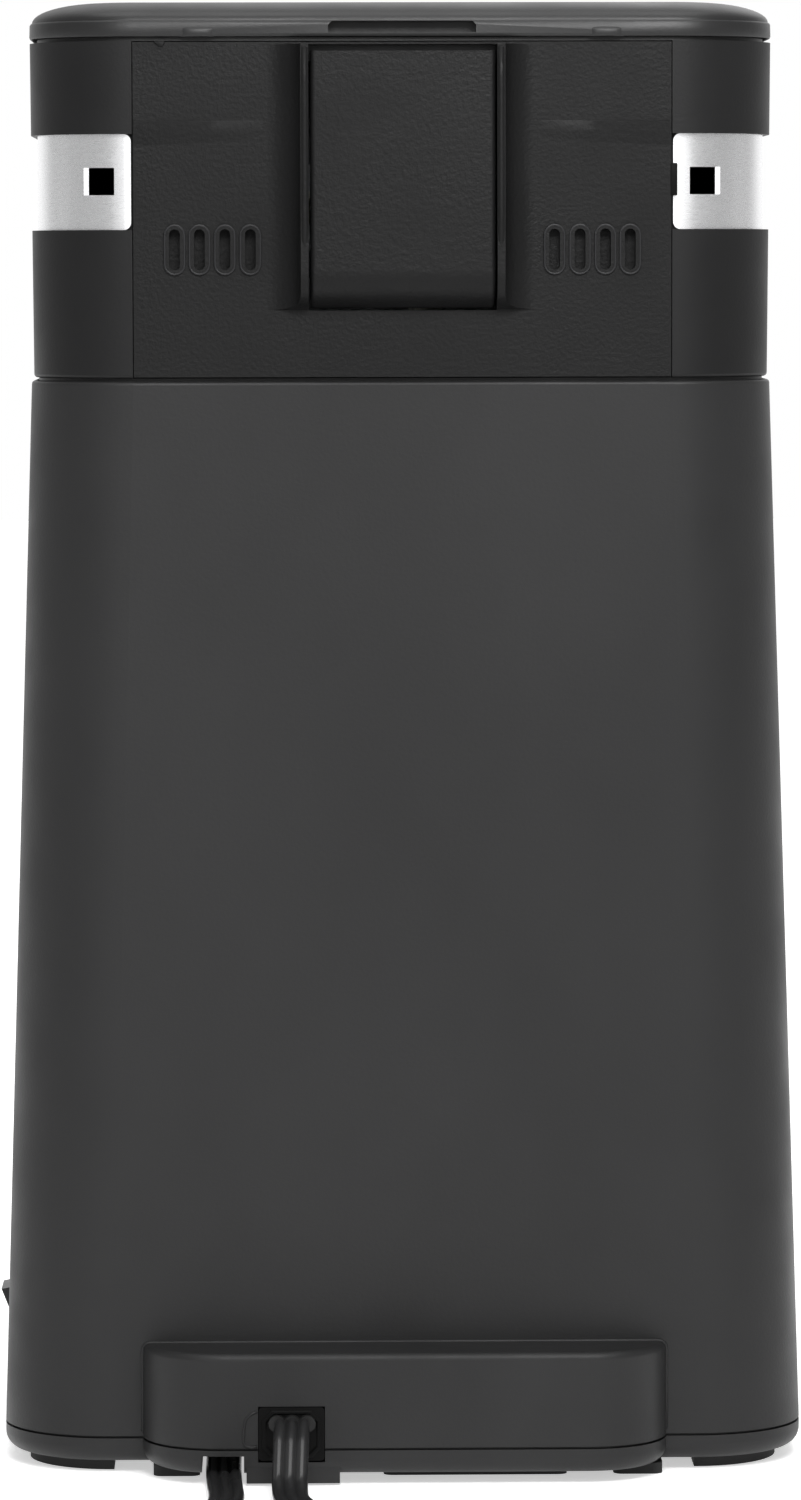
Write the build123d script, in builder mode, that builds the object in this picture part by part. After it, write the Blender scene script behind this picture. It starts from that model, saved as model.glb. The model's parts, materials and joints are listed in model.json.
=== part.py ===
"""Extra-tall electric can opener, built as an assembly of separate pieces.

Units are millimetres. +Z is up, the front (lever and cutter) faces -Y, the rear (motor cover
and cord) faces +Y. The origin is on the standing surface, in the middle of the opener.
"""

from build123d import *
import os
from math import atan2, cos, degrees, hypot, pi, radians, sin, tan

os.makedirs("parts", exist_ok=True)

# ---------------------------------------------------------------- driving dimensions
TOTAL_HEIGHT = 239.4

# levels, from the table up
FOOT_HEIGHT = 1.8
TRAY_EDGE_TOP = 5.8
BODY_BOTTOM = 6.2
LEDGE_TOP = 21.5
BODY_TOP = 177.9
HEAD_BOTTOM = 178.4
HEAD_TOP = 232.6
LID_BOTTOM = 233.2
BAND_LOW = 202.3
BAND_HIGH = 217.7

# outlines: half widths in X, front and rear faces in Y, vertical corner radii
BASE_HALF_X = 65.75
BODY_TOP_HALF_X = 60.4
HEAD_LOW_HALF_X = 60.0
HEAD_HIGH_HALF_X = 60.45
LID_HALF_X = 60.5
LID_SLOT_HALF_X = 12.0
LID_SLOT_Z = (233.9, 235.8)
BASE_FRONT = -44.0
HEAD_FRONT = -42.0
REAR_FACE = 54.0
BASE_CORNER = 18.0
HEAD_CORNER = 17.0
WALL = 2.4
HEAD_WALL = 3.2
GROOVE_DEPTH = 1.2

# rear of the base
PROTRUSION_HALF_X = 42.7
PROTRUSION_REAR = 66.0
PROTRUSION_CORNER = 13.0

# rear of the head
COVER_HALF_X = 43.35
COVER_OPENING_HALF_X = 43.5
BULGE_HALF_X = 16.4
BULGE_FLARE = 5.3
BULGE_REAR = 60.0
BULGE_BOTTOM = 189.3
BULGE_TOP = 232.0
BULGE_CURVE = 6.0
PANEL_HALF_X = 14.85
PANEL_REAR = 59.7
PANEL_BOTTOM = 189.7
PANEL_TOP = 230.8
VENT_X = (24.5, 28.6, 32.7, 36.7)
VENT_Z = 199.1
VENT_SIZE = (6.6, 1.74)
VENT_RIM_SIZE = (7.6, 3.1)
VENT_RIM_HEIGHT = 0.35
VENT_DEPTH = 2.2

# trim band
BAND_HALF_X = 59.25
BAND_THICKNESS = 0.8
BAND_END_X = 43.7
BAND_SLOT_X = (46.4, 51.3)
BAND_SLOT_Z = (207.9, 212.3)

# shaft centres in the XZ plane
ROTOR_AXIS = (0.0, 206.0)
FEED_AXIS = (4.0, 193.0)
LEVER_AXIS = (-26.0, 214.0)
CUTTER_AXIS = (4.0, 213.0)

# gear train: teeth and modules of the three stages
MODULE_1, MODULE_2, MODULE_3 = 0.7, 0.9, 1.1
PINION_TEETH = 10
GEAR_1_TEETH = 56
GEAR_2_TEETH = 45
OUTPUT_TEETH = 40
GEAR_1_DIRECTION = 190.0
WHEEL_MODULE = 0.64
FEED_WHEEL_TEETH = 24

# motor
STATOR_Y = (8.0, 28.0)
STATOR_Z = (158.0, 228.0)
BRACKET_Y = (34.0, 36.0)
CORE_LEG_Z = (158.0, 169.0)
ROTOR_RADIUS = 15.0
SHAFT_RADIUS = 2.5
MOTOR_SCREWS = [(x, z) for x in (-22.5, 22.5) for z in (190.0, 222.0)]
PLATE_SCREWS = [(-36.0, 224.0), (31.0, 222.0), (-44.0, 186.0), (20.0, 166.0)]
REAR_PLATE_Y = (-2.5, 0.0)
FRONT_PLATE_Y = (-26.5, -24.0)
SCREW_RADIUS = 1.55
MOTOR_SCREW_RADIUS = 2.0
PINION_SHAFT_RADIUS = 1.8

# rocker switch in the right-hand side
ROCKER_Y = 5.0
ROCKER_Z = 18.5
ROCKER_PIVOT_X = 62.3
ROCKER_TILT = 10.5
ROCKER_FACE_X = ROCKER_PIVOT_X + 3.1
ROCKER_BACK_X = ROCKER_PIVOT_X - 8.0
TERMINAL_X = ROCKER_BACK_X - 4.0

# cord: the flat lead as a round tube of the same section
CORD_DIAMETER = 4.4
CORD_CHANNEL_X = 29.6
COIL_CENTRE = (0.0, -84.0)
COIL_RADIUS = 31.0
COIL_HEIGHT = (0.7, 9.7)
COIL_HALF_WIDTH = 3.4
WIRE_RADIUS = 1.1

# levels that reach past the object on every side, for cuts that go right through
FAR_FRONT = -80.0
FAR_REAR = 80.0


# ---------------------------------------------------------------- helpers
def outline(half_x, front, rear, corner, mode=Mode.ADD):
    """A rounded rectangle, symmetric in X, between two Y faces."""
    with Locations((0, (front + rear) / 2)):
        RectangleRounded(2 * half_x, rear - front, corner, mode=mode)


def inset_outline(half_x, front, corner, inset, mode=Mode.ADD):
    """The same outline, moved inwards by an inset."""
    outline(half_x - inset, front + inset, REAR_FACE - inset, corner - inset, mode)


def at_y(y):
    """The plane at a Y level whose sketches are drawn in X and Z and extruded towards -Y."""
    return Plane.XZ.offset(-y)


def rectangle_between(x_range, z_range, mode=Mode.ADD):
    """A rectangle between two X and two Z values."""
    with Locations((sum(x_range) / 2, sum(z_range) / 2)):
        Rectangle(x_range[1] - x_range[0], z_range[1] - z_range[0], mode=mode)


def block(x_range, y_range, z_range, mode=Mode.ADD):
    """A box between two X, two Y and two Z values."""
    low = (x_range[0], y_range[0], z_range[0])
    high = (x_range[1], y_range[1], z_range[1])
    with Locations(tuple((a + b) / 2 for a, b in zip(low, high))):
        Box(*(b - a for a, b in zip(low, high)), mode=mode)


def ring_y(centre, outer, inner, y_front, y_rear, mode=Mode.ADD):
    """A ring about an axis along Y; an inner radius of 0 makes it a disc."""
    with BuildSketch(at_y(y_rear)) as ring:
        with Locations(centre):
            Circle(outer)
            if inner > 0:
                Circle(inner, mode=Mode.SUBTRACT)
    extrude(ring.sketch, amount=y_rear - y_front, mode=mode)


def gear_y(centre, teeth, module, phase, y_front, y_rear):
    """Spur teeth with straight flanks about an axis along Y; phase is one tooth's angle in degrees."""
    pitch_radius = teeth * module / 2
    root = pitch_radius - 1.25 * module
    tip = pitch_radius + module
    step = 2 * pi / teeth
    points = []
    for tooth in range(teeth):
        middle = radians(phase) + tooth * step
        for radius, share in ((root, -0.28), (tip, -0.10), (tip, 0.10), (root, 0.28)):
            angle = middle + share * step
            points.append((centre[0] + radius * cos(angle), centre[1] + radius * sin(angle)))
    with BuildSketch(at_y(y_rear)) as teeth_outline:
        with BuildLine():
            Polyline(*points, close=True)
        make_face()
    extrude(teeth_outline.sketch, amount=y_rear - y_front)


def meshing_phase(centre_a, teeth_a, phase_a, centre_b, teeth_b):
    """The angle of a tooth of gear b whose gap meets gear a's nearest tooth."""
    direction = degrees(atan2(centre_b[1] - centre_a[1], centre_b[0] - centre_a[0]))
    return direction + 180 + 180 / teeth_b - (phase_a - direction) * teeth_a / teeth_b


def centre_distance(teeth_a, teeth_b, module):
    """The distance between the axes of two meshing gears."""
    return (teeth_a + teeth_b) * module / 2


def arc_radii(points):
    """The radius of each corner of a cord's route, as large as its two runs allow."""
    radii = []
    for before, corner, after in zip(points, points[1:], points[2:]):
        run_in = Vector(*corner) - Vector(*before)
        run_out = Vector(*after) - Vector(*corner)
        shorter = min(run_in.length, run_out.length)
        radii.append(0.45 * shorter / tan(radians(run_in.get_angle(run_out) / 2)))
    return radii


def print_tube(name, radii, diameter, solid, length):
    """Print a cord tube's radii and compare its volume with its section times its length."""
    share = solid.volume / (pi * diameter**2 / 4 * length)
    print(name, "radii", [round(radius, 1) for radius in radii])
    print(name, "length", round(length, 1), "volume share", round(share, 4))


# ---------------------------------------------------------------- gear centres
GEAR_1_DISTANCE = centre_distance(PINION_TEETH, GEAR_1_TEETH, MODULE_1)
GEAR_1_AXIS = (
    ROTOR_AXIS[0] + GEAR_1_DISTANCE * cos(radians(GEAR_1_DIRECTION)),
    ROTOR_AXIS[1] + GEAR_1_DISTANCE * sin(radians(GEAR_1_DIRECTION)),
)
STAGE_2_DISTANCE = centre_distance(PINION_TEETH, GEAR_2_TEETH, MODULE_2)
STAGE_3_DISTANCE = centre_distance(PINION_TEETH, OUTPUT_TEETH, MODULE_3)


def below_both(centre_a, distance_a, centre_b, distance_b):
    """The lower point at the given distances from two centres."""
    gap_x, gap_z = centre_b[0] - centre_a[0], centre_b[1] - centre_a[1]
    gap = hypot(gap_x, gap_z)
    along = (distance_a**2 - distance_b**2 + gap**2) / (2 * gap)
    across = (distance_a**2 - along**2) ** 0.5
    return (
        centre_a[0] + along * gap_x / gap + across * gap_z / gap,
        centre_a[1] + along * gap_z / gap - across * gap_x / gap,
    )


GEAR_2_AXIS = below_both(GEAR_1_AXIS, STAGE_2_DISTANCE, FEED_AXIS, STAGE_3_DISTANCE)
PHASE_ROTOR = 0.0
PHASE_GEAR_1 = meshing_phase(ROTOR_AXIS, PINION_TEETH, PHASE_ROTOR, GEAR_1_AXIS, GEAR_1_TEETH)
PHASE_GEAR_2 = meshing_phase(GEAR_1_AXIS, PINION_TEETH, 0.0, GEAR_2_AXIS, GEAR_2_TEETH)
PHASE_OUTPUT = meshing_phase(GEAR_2_AXIS, PINION_TEETH, 0.0, FEED_AXIS, OUTPUT_TEETH)


# ---------------------------------------------------------------- base
TRAY_FLOOR_TOP = 4.2
CHANNEL_HALF = 3.4
CHANNEL_TOP = 4.9
LOBE_X = (10.7, 25.8)
GLAND_X = (13.1, 23.9)
GLAND_Z = (3.9, 13.0)
GLAND_SEAT_Y = 56.0
BASE_SCREWS = [(x, y) for x in (-44.0, 44.0) for y in (-27.0, 34.0)]
CHANNEL_X = (CORD_CHANNEL_X - CHANNEL_HALF, CORD_CHANNEL_X + CHANNEL_HALF)
CHANNEL_WALL_X = (CHANNEL_X[0] - 2, CHANNEL_X[1] + 2)

with BuildPart() as base_cover:
    with BuildSketch(Plane.XY.offset(FOOT_HEIGHT)):
        outline(BASE_HALF_X, BASE_FRONT, REAR_FACE, BASE_CORNER)
        outline(PROTRUSION_HALF_X, 0, PROTRUSION_REAR, PROTRUSION_CORNER)
    extrude(amount=TRAY_EDGE_TOP - FOOT_HEIGHT)
    fillet(base_cover.faces().sort_by(Axis.Z)[0].edges(), 2.6)
    with BuildSketch(Plane.XY.offset(TRAY_EDGE_TOP)):
        inset_outline(BASE_HALF_X, BASE_FRONT, BASE_CORNER, 0.8)
        outline(PROTRUSION_HALF_X - 0.8, 0, PROTRUSION_REAR - 0.8, PROTRUSION_CORNER - 0.8)
    extrude(amount=BODY_BOTTOM - TRAY_EDGE_TOP)
    with BuildSketch(Plane.XY.offset(TRAY_FLOOR_TOP)):
        inset_outline(BASE_HALF_X, BASE_FRONT, BASE_CORNER, WALL)
        outline(PROTRUSION_HALF_X - WALL, 0, PROTRUSION_REAR - WALL, PROTRUSION_CORNER - WALL)
    extrude(amount=BODY_BOTTOM - TRAY_FLOOR_TOP, mode=Mode.SUBTRACT)
    block(CHANNEL_WALL_X, (BASE_FRONT + 2, PROTRUSION_REAR - 2), (3, BODY_BOTTOM))
    block(LOBE_X, (57.5, PROTRUSION_REAR - 0.4), (0.4, 3))
    block(CHANNEL_X, (FAR_FRONT, FAR_REAR), (0, CHANNEL_TOP), Mode.SUBTRACT)
    block(GLAND_X, (GLAND_SEAT_Y, FAR_REAR), (GLAND_Z[0], BODY_BOTTOM + 4), Mode.SUBTRACT)
    with Locations(*[(x, y, FOOT_HEIGHT) for x, y in BASE_SCREWS]):
        Cylinder(2.0, 10, mode=Mode.SUBTRACT)
base_cover.part.label = "base_cover"
export_step(base_cover.part, "parts/base_cover.step")

REAR_PADS_X = [(33.4, 41.0), (-26.4, 3.5), (-42.0, -34.0)]
REAR_PADS_Y = (50.0, 56.5)
with BuildPart() as feet:
    with BuildSketch():
        inset_outline(BASE_HALF_X, BASE_FRONT, BASE_CORNER, 4.0)
        inset_outline(BASE_HALF_X, BASE_FRONT, BASE_CORNER, 11.0, Mode.SUBTRACT)
        Rectangle(2 * 47.5, 200, mode=Mode.SUBTRACT)
        with Locations((0, 5)):
            Rectangle(200, 56, mode=Mode.SUBTRACT)
        for x_range in REAR_PADS_X:
            with Locations((sum(x_range) / 2, sum(REAR_PADS_Y) / 2)):
                RectangleRounded(x_range[1] - x_range[0], REAR_PADS_Y[1] - REAR_PADS_Y[0], 1.5)
        with Locations((-12, -37.5)):
            RectangleRounded(50, 6, 1.5)
    extrude(amount=FOOT_HEIGHT)
feet.part.label = "feet"
export_step(feet.part, "parts/feet.step")

with BuildPart() as base_screws:
    with Locations(*[(x, y, 1.1) for x, y in BASE_SCREWS]):
        Cylinder(3.4, 1.4)
    with Locations(*[(x, y, 9.9) for x, y in BASE_SCREWS]):
        Cylinder(1.5, 16.2)
base_screws.part.label = "base_screws"
export_step(base_screws.part, "parts/base_screws.step")


# ---------------------------------------------------------------- body column
COLLAR_TOP = 181.0
RING_LOW = 171.0

with BuildPart() as body_shell:
    with BuildSketch(Plane.XY.offset(BODY_BOTTOM)):
        outline(BASE_HALF_X, BASE_FRONT, REAR_FACE, BASE_CORNER)
    with BuildSketch(Plane.XY.offset(BODY_TOP)):
        outline(BODY_TOP_HALF_X, HEAD_FRONT, REAR_FACE, HEAD_CORNER)
    loft()
    fillet(body_shell.faces().sort_by(Axis.Z)[-1].edges(), 0.6)
    with BuildSketch(Plane.XY.offset(BODY_BOTTOM)):
        outline(PROTRUSION_HALF_X, 0, PROTRUSION_REAR, PROTRUSION_CORNER)
    extrude(amount=LEDGE_TOP - BODY_BOTTOM)
    ledge_edges = body_shell.edges().filter_by_position(Axis.Z, LEDGE_TOP - 0.1, LEDGE_TOP + 0.1)
    fillet([edge for edge in ledge_edges if edge.center().Y > REAR_FACE + 0.5], 1.2)
    with BuildSketch(Plane.XY.offset(BODY_BOTTOM)):
        inset_outline(BASE_HALF_X, BASE_FRONT, BASE_CORNER, WALL)
    with BuildSketch(Plane.XY.offset(BODY_TOP)):
        inset_outline(BODY_TOP_HALF_X, HEAD_FRONT, HEAD_CORNER, WALL)
    loft(mode=Mode.SUBTRACT)
    with BuildSketch(Plane.XY.offset(BODY_BOTTOM)):
        outline(PROTRUSION_HALF_X - WALL, 0, PROTRUSION_REAR - WALL, PROTRUSION_CORNER - WALL)
    extrude(amount=LEDGE_TOP - WALL - BODY_BOTTOM, mode=Mode.SUBTRACT)
    # thickened rim that carries the head, and the collar that centres it
    with BuildSketch(Plane.XY.offset(RING_LOW)):
        inset_outline(BODY_TOP_HALF_X, HEAD_FRONT, HEAD_CORNER, GROOVE_DEPTH)
        inset_outline(HEAD_LOW_HALF_X, HEAD_FRONT, HEAD_CORNER, 5.0, Mode.SUBTRACT)
    extrude(amount=HEAD_BOTTOM - RING_LOW)
    with BuildSketch(Plane.XY.offset(HEAD_BOTTOM)):
        inset_outline(HEAD_LOW_HALF_X, HEAD_FRONT, HEAD_CORNER, HEAD_WALL + 0.5)
        inset_outline(HEAD_LOW_HALF_X, HEAD_FRONT, HEAD_CORNER, 5.0, Mode.SUBTRACT)
    extrude(amount=COLLAR_TOP - HEAD_BOTTOM)
    # bosses for the base screws
    for x, y in BASE_SCREWS:
        with BuildSketch(Plane.XY.offset(BODY_BOTTOM)):
            with Locations((x, y)):
                Circle(4.5)
            with Locations((x + 10 * x / abs(x), y)):
                Rectangle(20, 2.4)
        extrude(amount=18)
    with Locations(*[(x, y, BODY_BOTTOM) for x, y in BASE_SCREWS]):
        Cylinder(SCREW_RADIUS, 32, mode=Mode.SUBTRACT)
    # openings: cord gland and rocker switch
    block(GLAND_X, (GLAND_SEAT_Y, FAR_REAR), (0, GLAND_Z[1]), Mode.SUBTRACT)
    block((58, 75), (ROCKER_Y - 6.6, ROCKER_Y + 6.6), (ROCKER_Z - 7.6, ROCKER_Z + 7.6), Mode.SUBTRACT)
# the screw bosses' webs run through the wall, so what stands outside the base outline is cut off
with BuildPart() as body_envelope:
    with BuildSketch(Plane.XY.offset(BODY_BOTTOM)):
        outline(BASE_HALF_X, BASE_FRONT, REAR_FACE, BASE_CORNER)
        outline(PROTRUSION_HALF_X, 0, PROTRUSION_REAR, PROTRUSION_CORNER)
    extrude(amount=COLLAR_TOP - BODY_BOTTOM)
with BuildPart() as body_column:
    add(body_shell.part)
    add(body_envelope.part, mode=Mode.INTERSECT)
body_column.part.label = "body_shell"
export_step(body_column.part, "parts/body_shell.step")


# ---------------------------------------------------------------- head
BUSH_RADIUS = 6.5
LEVER_BUSH_RADIUS = 6.0
GUIDE_POSTS = [(-13.0, 190.0), (21.0, 190.0)]
POST_RADIUS = 2.0
BACK_CUT_Y = (44.0, 60.0)
FRONT_CUT_Y = (-60.0, -30.0)


def band_outline(inset, mode=Mode.ADD):
    """The trim band's outer face, moved inwards by an inset."""
    front, rear = HEAD_FRONT + GROOVE_DEPTH + inset, REAR_FACE - GROOVE_DEPTH - inset
    outline(BAND_HALF_X - inset, front, rear, HEAD_CORNER - 1 - inset, mode)


with BuildPart() as head_shell:
    with BuildSketch(Plane.XY.offset(HEAD_BOTTOM)):
        outline(HEAD_LOW_HALF_X, HEAD_FRONT, REAR_FACE, HEAD_CORNER)
    with BuildSketch(Plane.XY.offset(HEAD_TOP)):
        outline(HEAD_HIGH_HALF_X, HEAD_FRONT, REAR_FACE, HEAD_CORNER)
    loft()
    fillet(head_shell.faces().sort_by(Axis.Z)[0].edges(), 0.6)
    with BuildSketch(Plane.XY.offset(HEAD_BOTTOM)):
        inset_outline(HEAD_LOW_HALF_X, HEAD_FRONT, HEAD_CORNER, HEAD_WALL)
    extrude(amount=HEAD_TOP - HEAD_BOTTOM, mode=Mode.SUBTRACT)
    with BuildSketch(Plane.XY.offset(BAND_LOW)):
        outline(FAR_REAR, FAR_FRONT, FAR_REAR, 10)
        band_outline(BAND_THICKNESS, Mode.SUBTRACT)
    extrude(amount=BAND_HIGH - BAND_LOW, mode=Mode.SUBTRACT)
    block((-COVER_OPENING_HALF_X, COVER_OPENING_HALF_X), BACK_CUT_Y, (170, 240), Mode.SUBTRACT)
    for side in (-1, 1):
        slot_x = sorted((side * (BAND_SLOT_X[0] - 0.3), side * (BAND_SLOT_X[1] + 0.3)))
        block(slot_x, BACK_CUT_Y, (BAND_SLOT_Z[0] - 0.3, BAND_SLOT_Z[1] + 0.3), Mode.SUBTRACT)
    for x, z in PLATE_SCREWS[:3]:
        ring_y((x, z), 4.5, SCREW_RADIUS, HEAD_FRONT + HEAD_WALL - 0.5, FRONT_PLATE_Y[0])
    ring_y(FEED_AXIS, BUSH_RADIUS, 0, *FRONT_CUT_Y, Mode.SUBTRACT)
    ring_y(LEVER_AXIS, LEVER_BUSH_RADIUS, 0, *FRONT_CUT_Y, Mode.SUBTRACT)
    for post in GUIDE_POSTS:
        ring_y(post, POST_RADIUS, 0, *FRONT_CUT_Y, Mode.SUBTRACT)
head_shell.part.label = "head_shell"
export_step(head_shell.part, "parts/head_shell.step")

with BuildPart() as trim_band:
    with BuildSketch(Plane.XY.offset(BAND_LOW)):
        band_outline(0)
        band_outline(BAND_THICKNESS, Mode.SUBTRACT)
        with Locations((0, REAR_FACE)):
            Rectangle(2 * BAND_END_X, 20, mode=Mode.SUBTRACT)
    extrude(amount=BAND_HIGH - BAND_LOW)
    end_edges = trim_band.edges().filter_by(Axis.Y).filter_by_position(Axis.Y, 50, 54)
    fillet([edge for edge in end_edges if abs(edge.center().X) < BAND_END_X + 0.1], 1.2)
    for side in (-1, 1):
        slot_x = sorted((side * BAND_SLOT_X[0], side * BAND_SLOT_X[1]))
        tab_x = sorted((side * (BAND_SLOT_X[1] - 0.8), side * BAND_SLOT_X[1]))
        block(slot_x, BACK_CUT_Y, BAND_SLOT_Z, Mode.SUBTRACT)
        block(tab_x, (49.5, 52.4), BAND_SLOT_Z)
    ring_y(LEVER_AXIS, LEVER_BUSH_RADIUS, 0, *FRONT_CUT_Y, Mode.SUBTRACT)
trim_band.part.label = "trim_band"
export_step(trim_band.part, "parts/trim_band.step")

with BuildPart() as lid:
    with BuildSketch(Plane.XY.offset(LID_BOTTOM)):
        outline(LID_HALF_X, HEAD_FRONT - 0.1, REAR_FACE + 0.1, HEAD_CORNER + 0.1)
    extrude(amount=TOTAL_HEIGHT - LID_BOTTOM)
    fillet(lid.faces().sort_by(Axis.Z)[-1].edges(), 4.0)
    with BuildSketch(Plane.XY.offset(HEAD_TOP)):
        inset_outline(HEAD_HIGH_HALF_X, HEAD_FRONT, HEAD_CORNER, GROOVE_DEPTH)
    extrude(amount=LID_BOTTOM - HEAD_TOP)
    with BuildSketch(Plane.XY.offset(HEAD_TOP - 4)):
        inset_outline(HEAD_LOW_HALF_X, HEAD_FRONT, HEAD_CORNER, HEAD_WALL + 0.3)
    extrude(amount=4)
    with BuildSketch(Plane.XY.offset(HEAD_TOP - 4)):
        inset_outline(HEAD_LOW_HALF_X, HEAD_FRONT, HEAD_CORNER, HEAD_WALL + 2.1)
    extrude(amount=8, mode=Mode.SUBTRACT)
    block((-LID_SLOT_HALF_X, LID_SLOT_HALF_X), (50, 60), LID_SLOT_Z, Mode.SUBTRACT)
lid.part.label = "lid"
export_step(lid.part, "parts/lid.step")


def bulge_profile(rear, bottom, top, curve, mode=Mode.ADD):
    """The side profile of the motor cover: flat at the rear, curving in to the cover at the bottom."""
    with BuildLine() as profile:
        start = (40.0, bottom)
        knee = (REAR_FACE - 0.5, bottom)
        flat_start = (rear, bottom + curve)
        Line(start, knee)
        Spline(knee, flat_start, tangents=[(1, 0.25), (0, 1)])
        Polyline(flat_start, (rear, top), (40.0, top), start)
    make_face(profile.edges(), mode=mode)


with BuildPart() as bulge:
    with BuildSketch(Plane.XY.offset(BULGE_BOTTOM)):
        with BuildLine():
            for side in (-1, 1):
                foot = (side * (BULGE_HALF_X + BULGE_FLARE), REAR_FACE)
                shoulder = (side * BULGE_HALF_X, REAR_FACE + BULGE_FLARE)
                bend = BULGE_FLARE * (1 - 2**-0.5)
                middle = (side * (BULGE_HALF_X + bend), REAR_FACE + bend)
                ThreePointArc(foot, middle, shoulder)
                Polyline(shoulder, (side * BULGE_HALF_X, BULGE_REAR), (0, BULGE_REAR))
                Polyline(foot, (foot[0], 51.5), (0, 51.5))
        make_face()
    extrude(amount=BULGE_TOP - BULGE_BOTTOM)
    with BuildSketch(Plane.YZ.offset(-30)):
        bulge_profile(BULGE_REAR, BULGE_BOTTOM, BULGE_TOP, BULGE_CURVE)
    extrude(amount=60, mode=Mode.INTERSECT)

COVER_Z = (HEAD_BOTTOM + 0.2, HEAD_TOP - 0.2)
with BuildPart() as rear_cover:
    block((-COVER_HALF_X, COVER_HALF_X), (REAR_FACE - HEAD_WALL, REAR_FACE), COVER_Z)
    add(bulge.part)
    block((-PANEL_HALF_X - 0.3, PANEL_HALF_X + 0.3), (40, 70), (BULGE_BOTTOM, BULGE_TOP), Mode.SUBTRACT)
    vents = [(side * vent, VENT_Z) for side in (-1, 1) for vent in VENT_X]
    with BuildSketch(at_y(REAR_FACE + VENT_RIM_HEIGHT)):
        with Locations(*vents):
            SlotOverall(*VENT_RIM_SIZE, rotation=90)
    extrude(amount=VENT_RIM_HEIGHT)
    with BuildSketch(at_y(REAR_FACE + VENT_RIM_HEIGHT)):
        with Locations(*vents):
            SlotOverall(*VENT_SIZE, rotation=90)
    extrude(amount=VENT_RIM_HEIGHT + VENT_DEPTH, mode=Mode.SUBTRACT)
rear_cover.part.label = "rear_cover"
export_step(rear_cover.part, "parts/rear_cover.step")

with BuildPart() as motor_cover:
    with BuildSketch(Plane.YZ.offset(-PANEL_HALF_X)):
        bulge_profile(PANEL_REAR, PANEL_BOTTOM, PANEL_TOP, BULGE_CURVE)
    extrude(amount=2 * PANEL_HALF_X)
    fillet(motor_cover.edges().filter_by(Axis.Z).filter_by_position(Axis.Y, 59, 61), 0.8)
    hollow_x = (-PANEL_HALF_X + 2, PANEL_HALF_X - 2)
    block(hollow_x, (30, PANEL_REAR - 2), (PANEL_BOTTOM + 5, PANEL_TOP - 2), Mode.SUBTRACT)
    block((-40, 40), (30, REAR_FACE - HEAD_WALL), (180, 240), Mode.SUBTRACT)
motor_cover.part.label = "motor_cover"
export_step(motor_cover.part, "parts/motor_cover.step")

with BuildPart() as guide_posts:
    for post in GUIDE_POSTS:
        ring_y(post, POST_RADIUS, 0, HEAD_FRONT, HEAD_FRONT + HEAD_WALL)
        ring_y(post, 3.0, 0, -48.0, HEAD_FRONT)
guide_posts.part.label = "guide_posts"
export_step(guide_posts.part, "parts/guide_posts.step")


# ---------------------------------------------------------------- gear case
AXLE_RADIUS = 1.5
FEED_SHAFT_RADIUS = 4.0
FEED_STUD_RADIUS = 3.0
FEED_WHEEL_Y = (-48.4, -44.4)
PLATE_X = (-49.0, 37.0)
PLATE_Z = (160.0, 229.0)

with BuildPart() as gear_plate_rear:
    with BuildSketch(at_y(REAR_PLATE_Y[1])):
        rectangle_between(PLATE_X, PLATE_Z)
        with Locations(ROTOR_AXIS):
            Circle(5.0, mode=Mode.SUBTRACT)
        with Locations(GEAR_1_AXIS, GEAR_2_AXIS):
            Circle(AXLE_RADIUS, mode=Mode.SUBTRACT)
        with Locations(*PLATE_SCREWS):
            Circle(SCREW_RADIUS, mode=Mode.SUBTRACT)
        with Locations(*MOTOR_SCREWS):
            Circle(MOTOR_SCREW_RADIUS, mode=Mode.SUBTRACT)
    extrude(amount=REAR_PLATE_Y[1] - REAR_PLATE_Y[0])
    fillet(gear_plate_rear.edges().filter_by(Axis.Y).group_by(Axis.X)[0], 6)
gear_plate_rear.part.label = "gear_plate_rear"
export_step(gear_plate_rear.part, "parts/gear_plate_rear.step")

with BuildPart() as gear_plate_front:
    with BuildSketch(at_y(FRONT_PLATE_Y[1])):
        rectangle_between(PLATE_X, PLATE_Z)
        with Locations(FEED_AXIS):
            Circle(BUSH_RADIUS, mode=Mode.SUBTRACT)
        with Locations(GEAR_1_AXIS, GEAR_2_AXIS):
            Circle(AXLE_RADIUS, mode=Mode.SUBTRACT)
        with Locations(*PLATE_SCREWS):
            Circle(SCREW_RADIUS, mode=Mode.SUBTRACT)
    extrude(amount=FRONT_PLATE_Y[1] - FRONT_PLATE_Y[0])
    fillet(gear_plate_front.edges().filter_by(Axis.Y).group_by(Axis.X)[0], 6)
gear_plate_front.part.label = "gear_plate_front"
export_step(gear_plate_front.part, "parts/gear_plate_front.step")

with BuildPart() as plate_spacers:
    for centre in PLATE_SCREWS:
        ring_y(centre, 3.0, SCREW_RADIUS, FRONT_PLATE_Y[1], REAR_PLATE_Y[0])
plate_spacers.part.label = "plate_spacers"
export_step(plate_spacers.part, "parts/plate_spacers.step")

with BuildPart() as plate_screws:
    for centre in PLATE_SCREWS:
        ring_y(centre, 3.2, 0, REAR_PLATE_Y[1], REAR_PLATE_Y[1] + 2.2)
        ring_y(centre, 1.5, 0, -34.0 if centre in PLATE_SCREWS[:3] else -28.0, REAR_PLATE_Y[1])
plate_screws.part.label = "plate_screws"
export_step(plate_screws.part, "parts/plate_screws.step")

with BuildPart() as gear_axles:
    for centre in (GEAR_1_AXIS, GEAR_2_AXIS):
        ring_y(centre, AXLE_RADIUS, 0, FRONT_PLATE_Y[0], REAR_PLATE_Y[1])
gear_axles.part.label = "gear_axles"
export_step(gear_axles.part, "parts/gear_axles.step")

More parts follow.
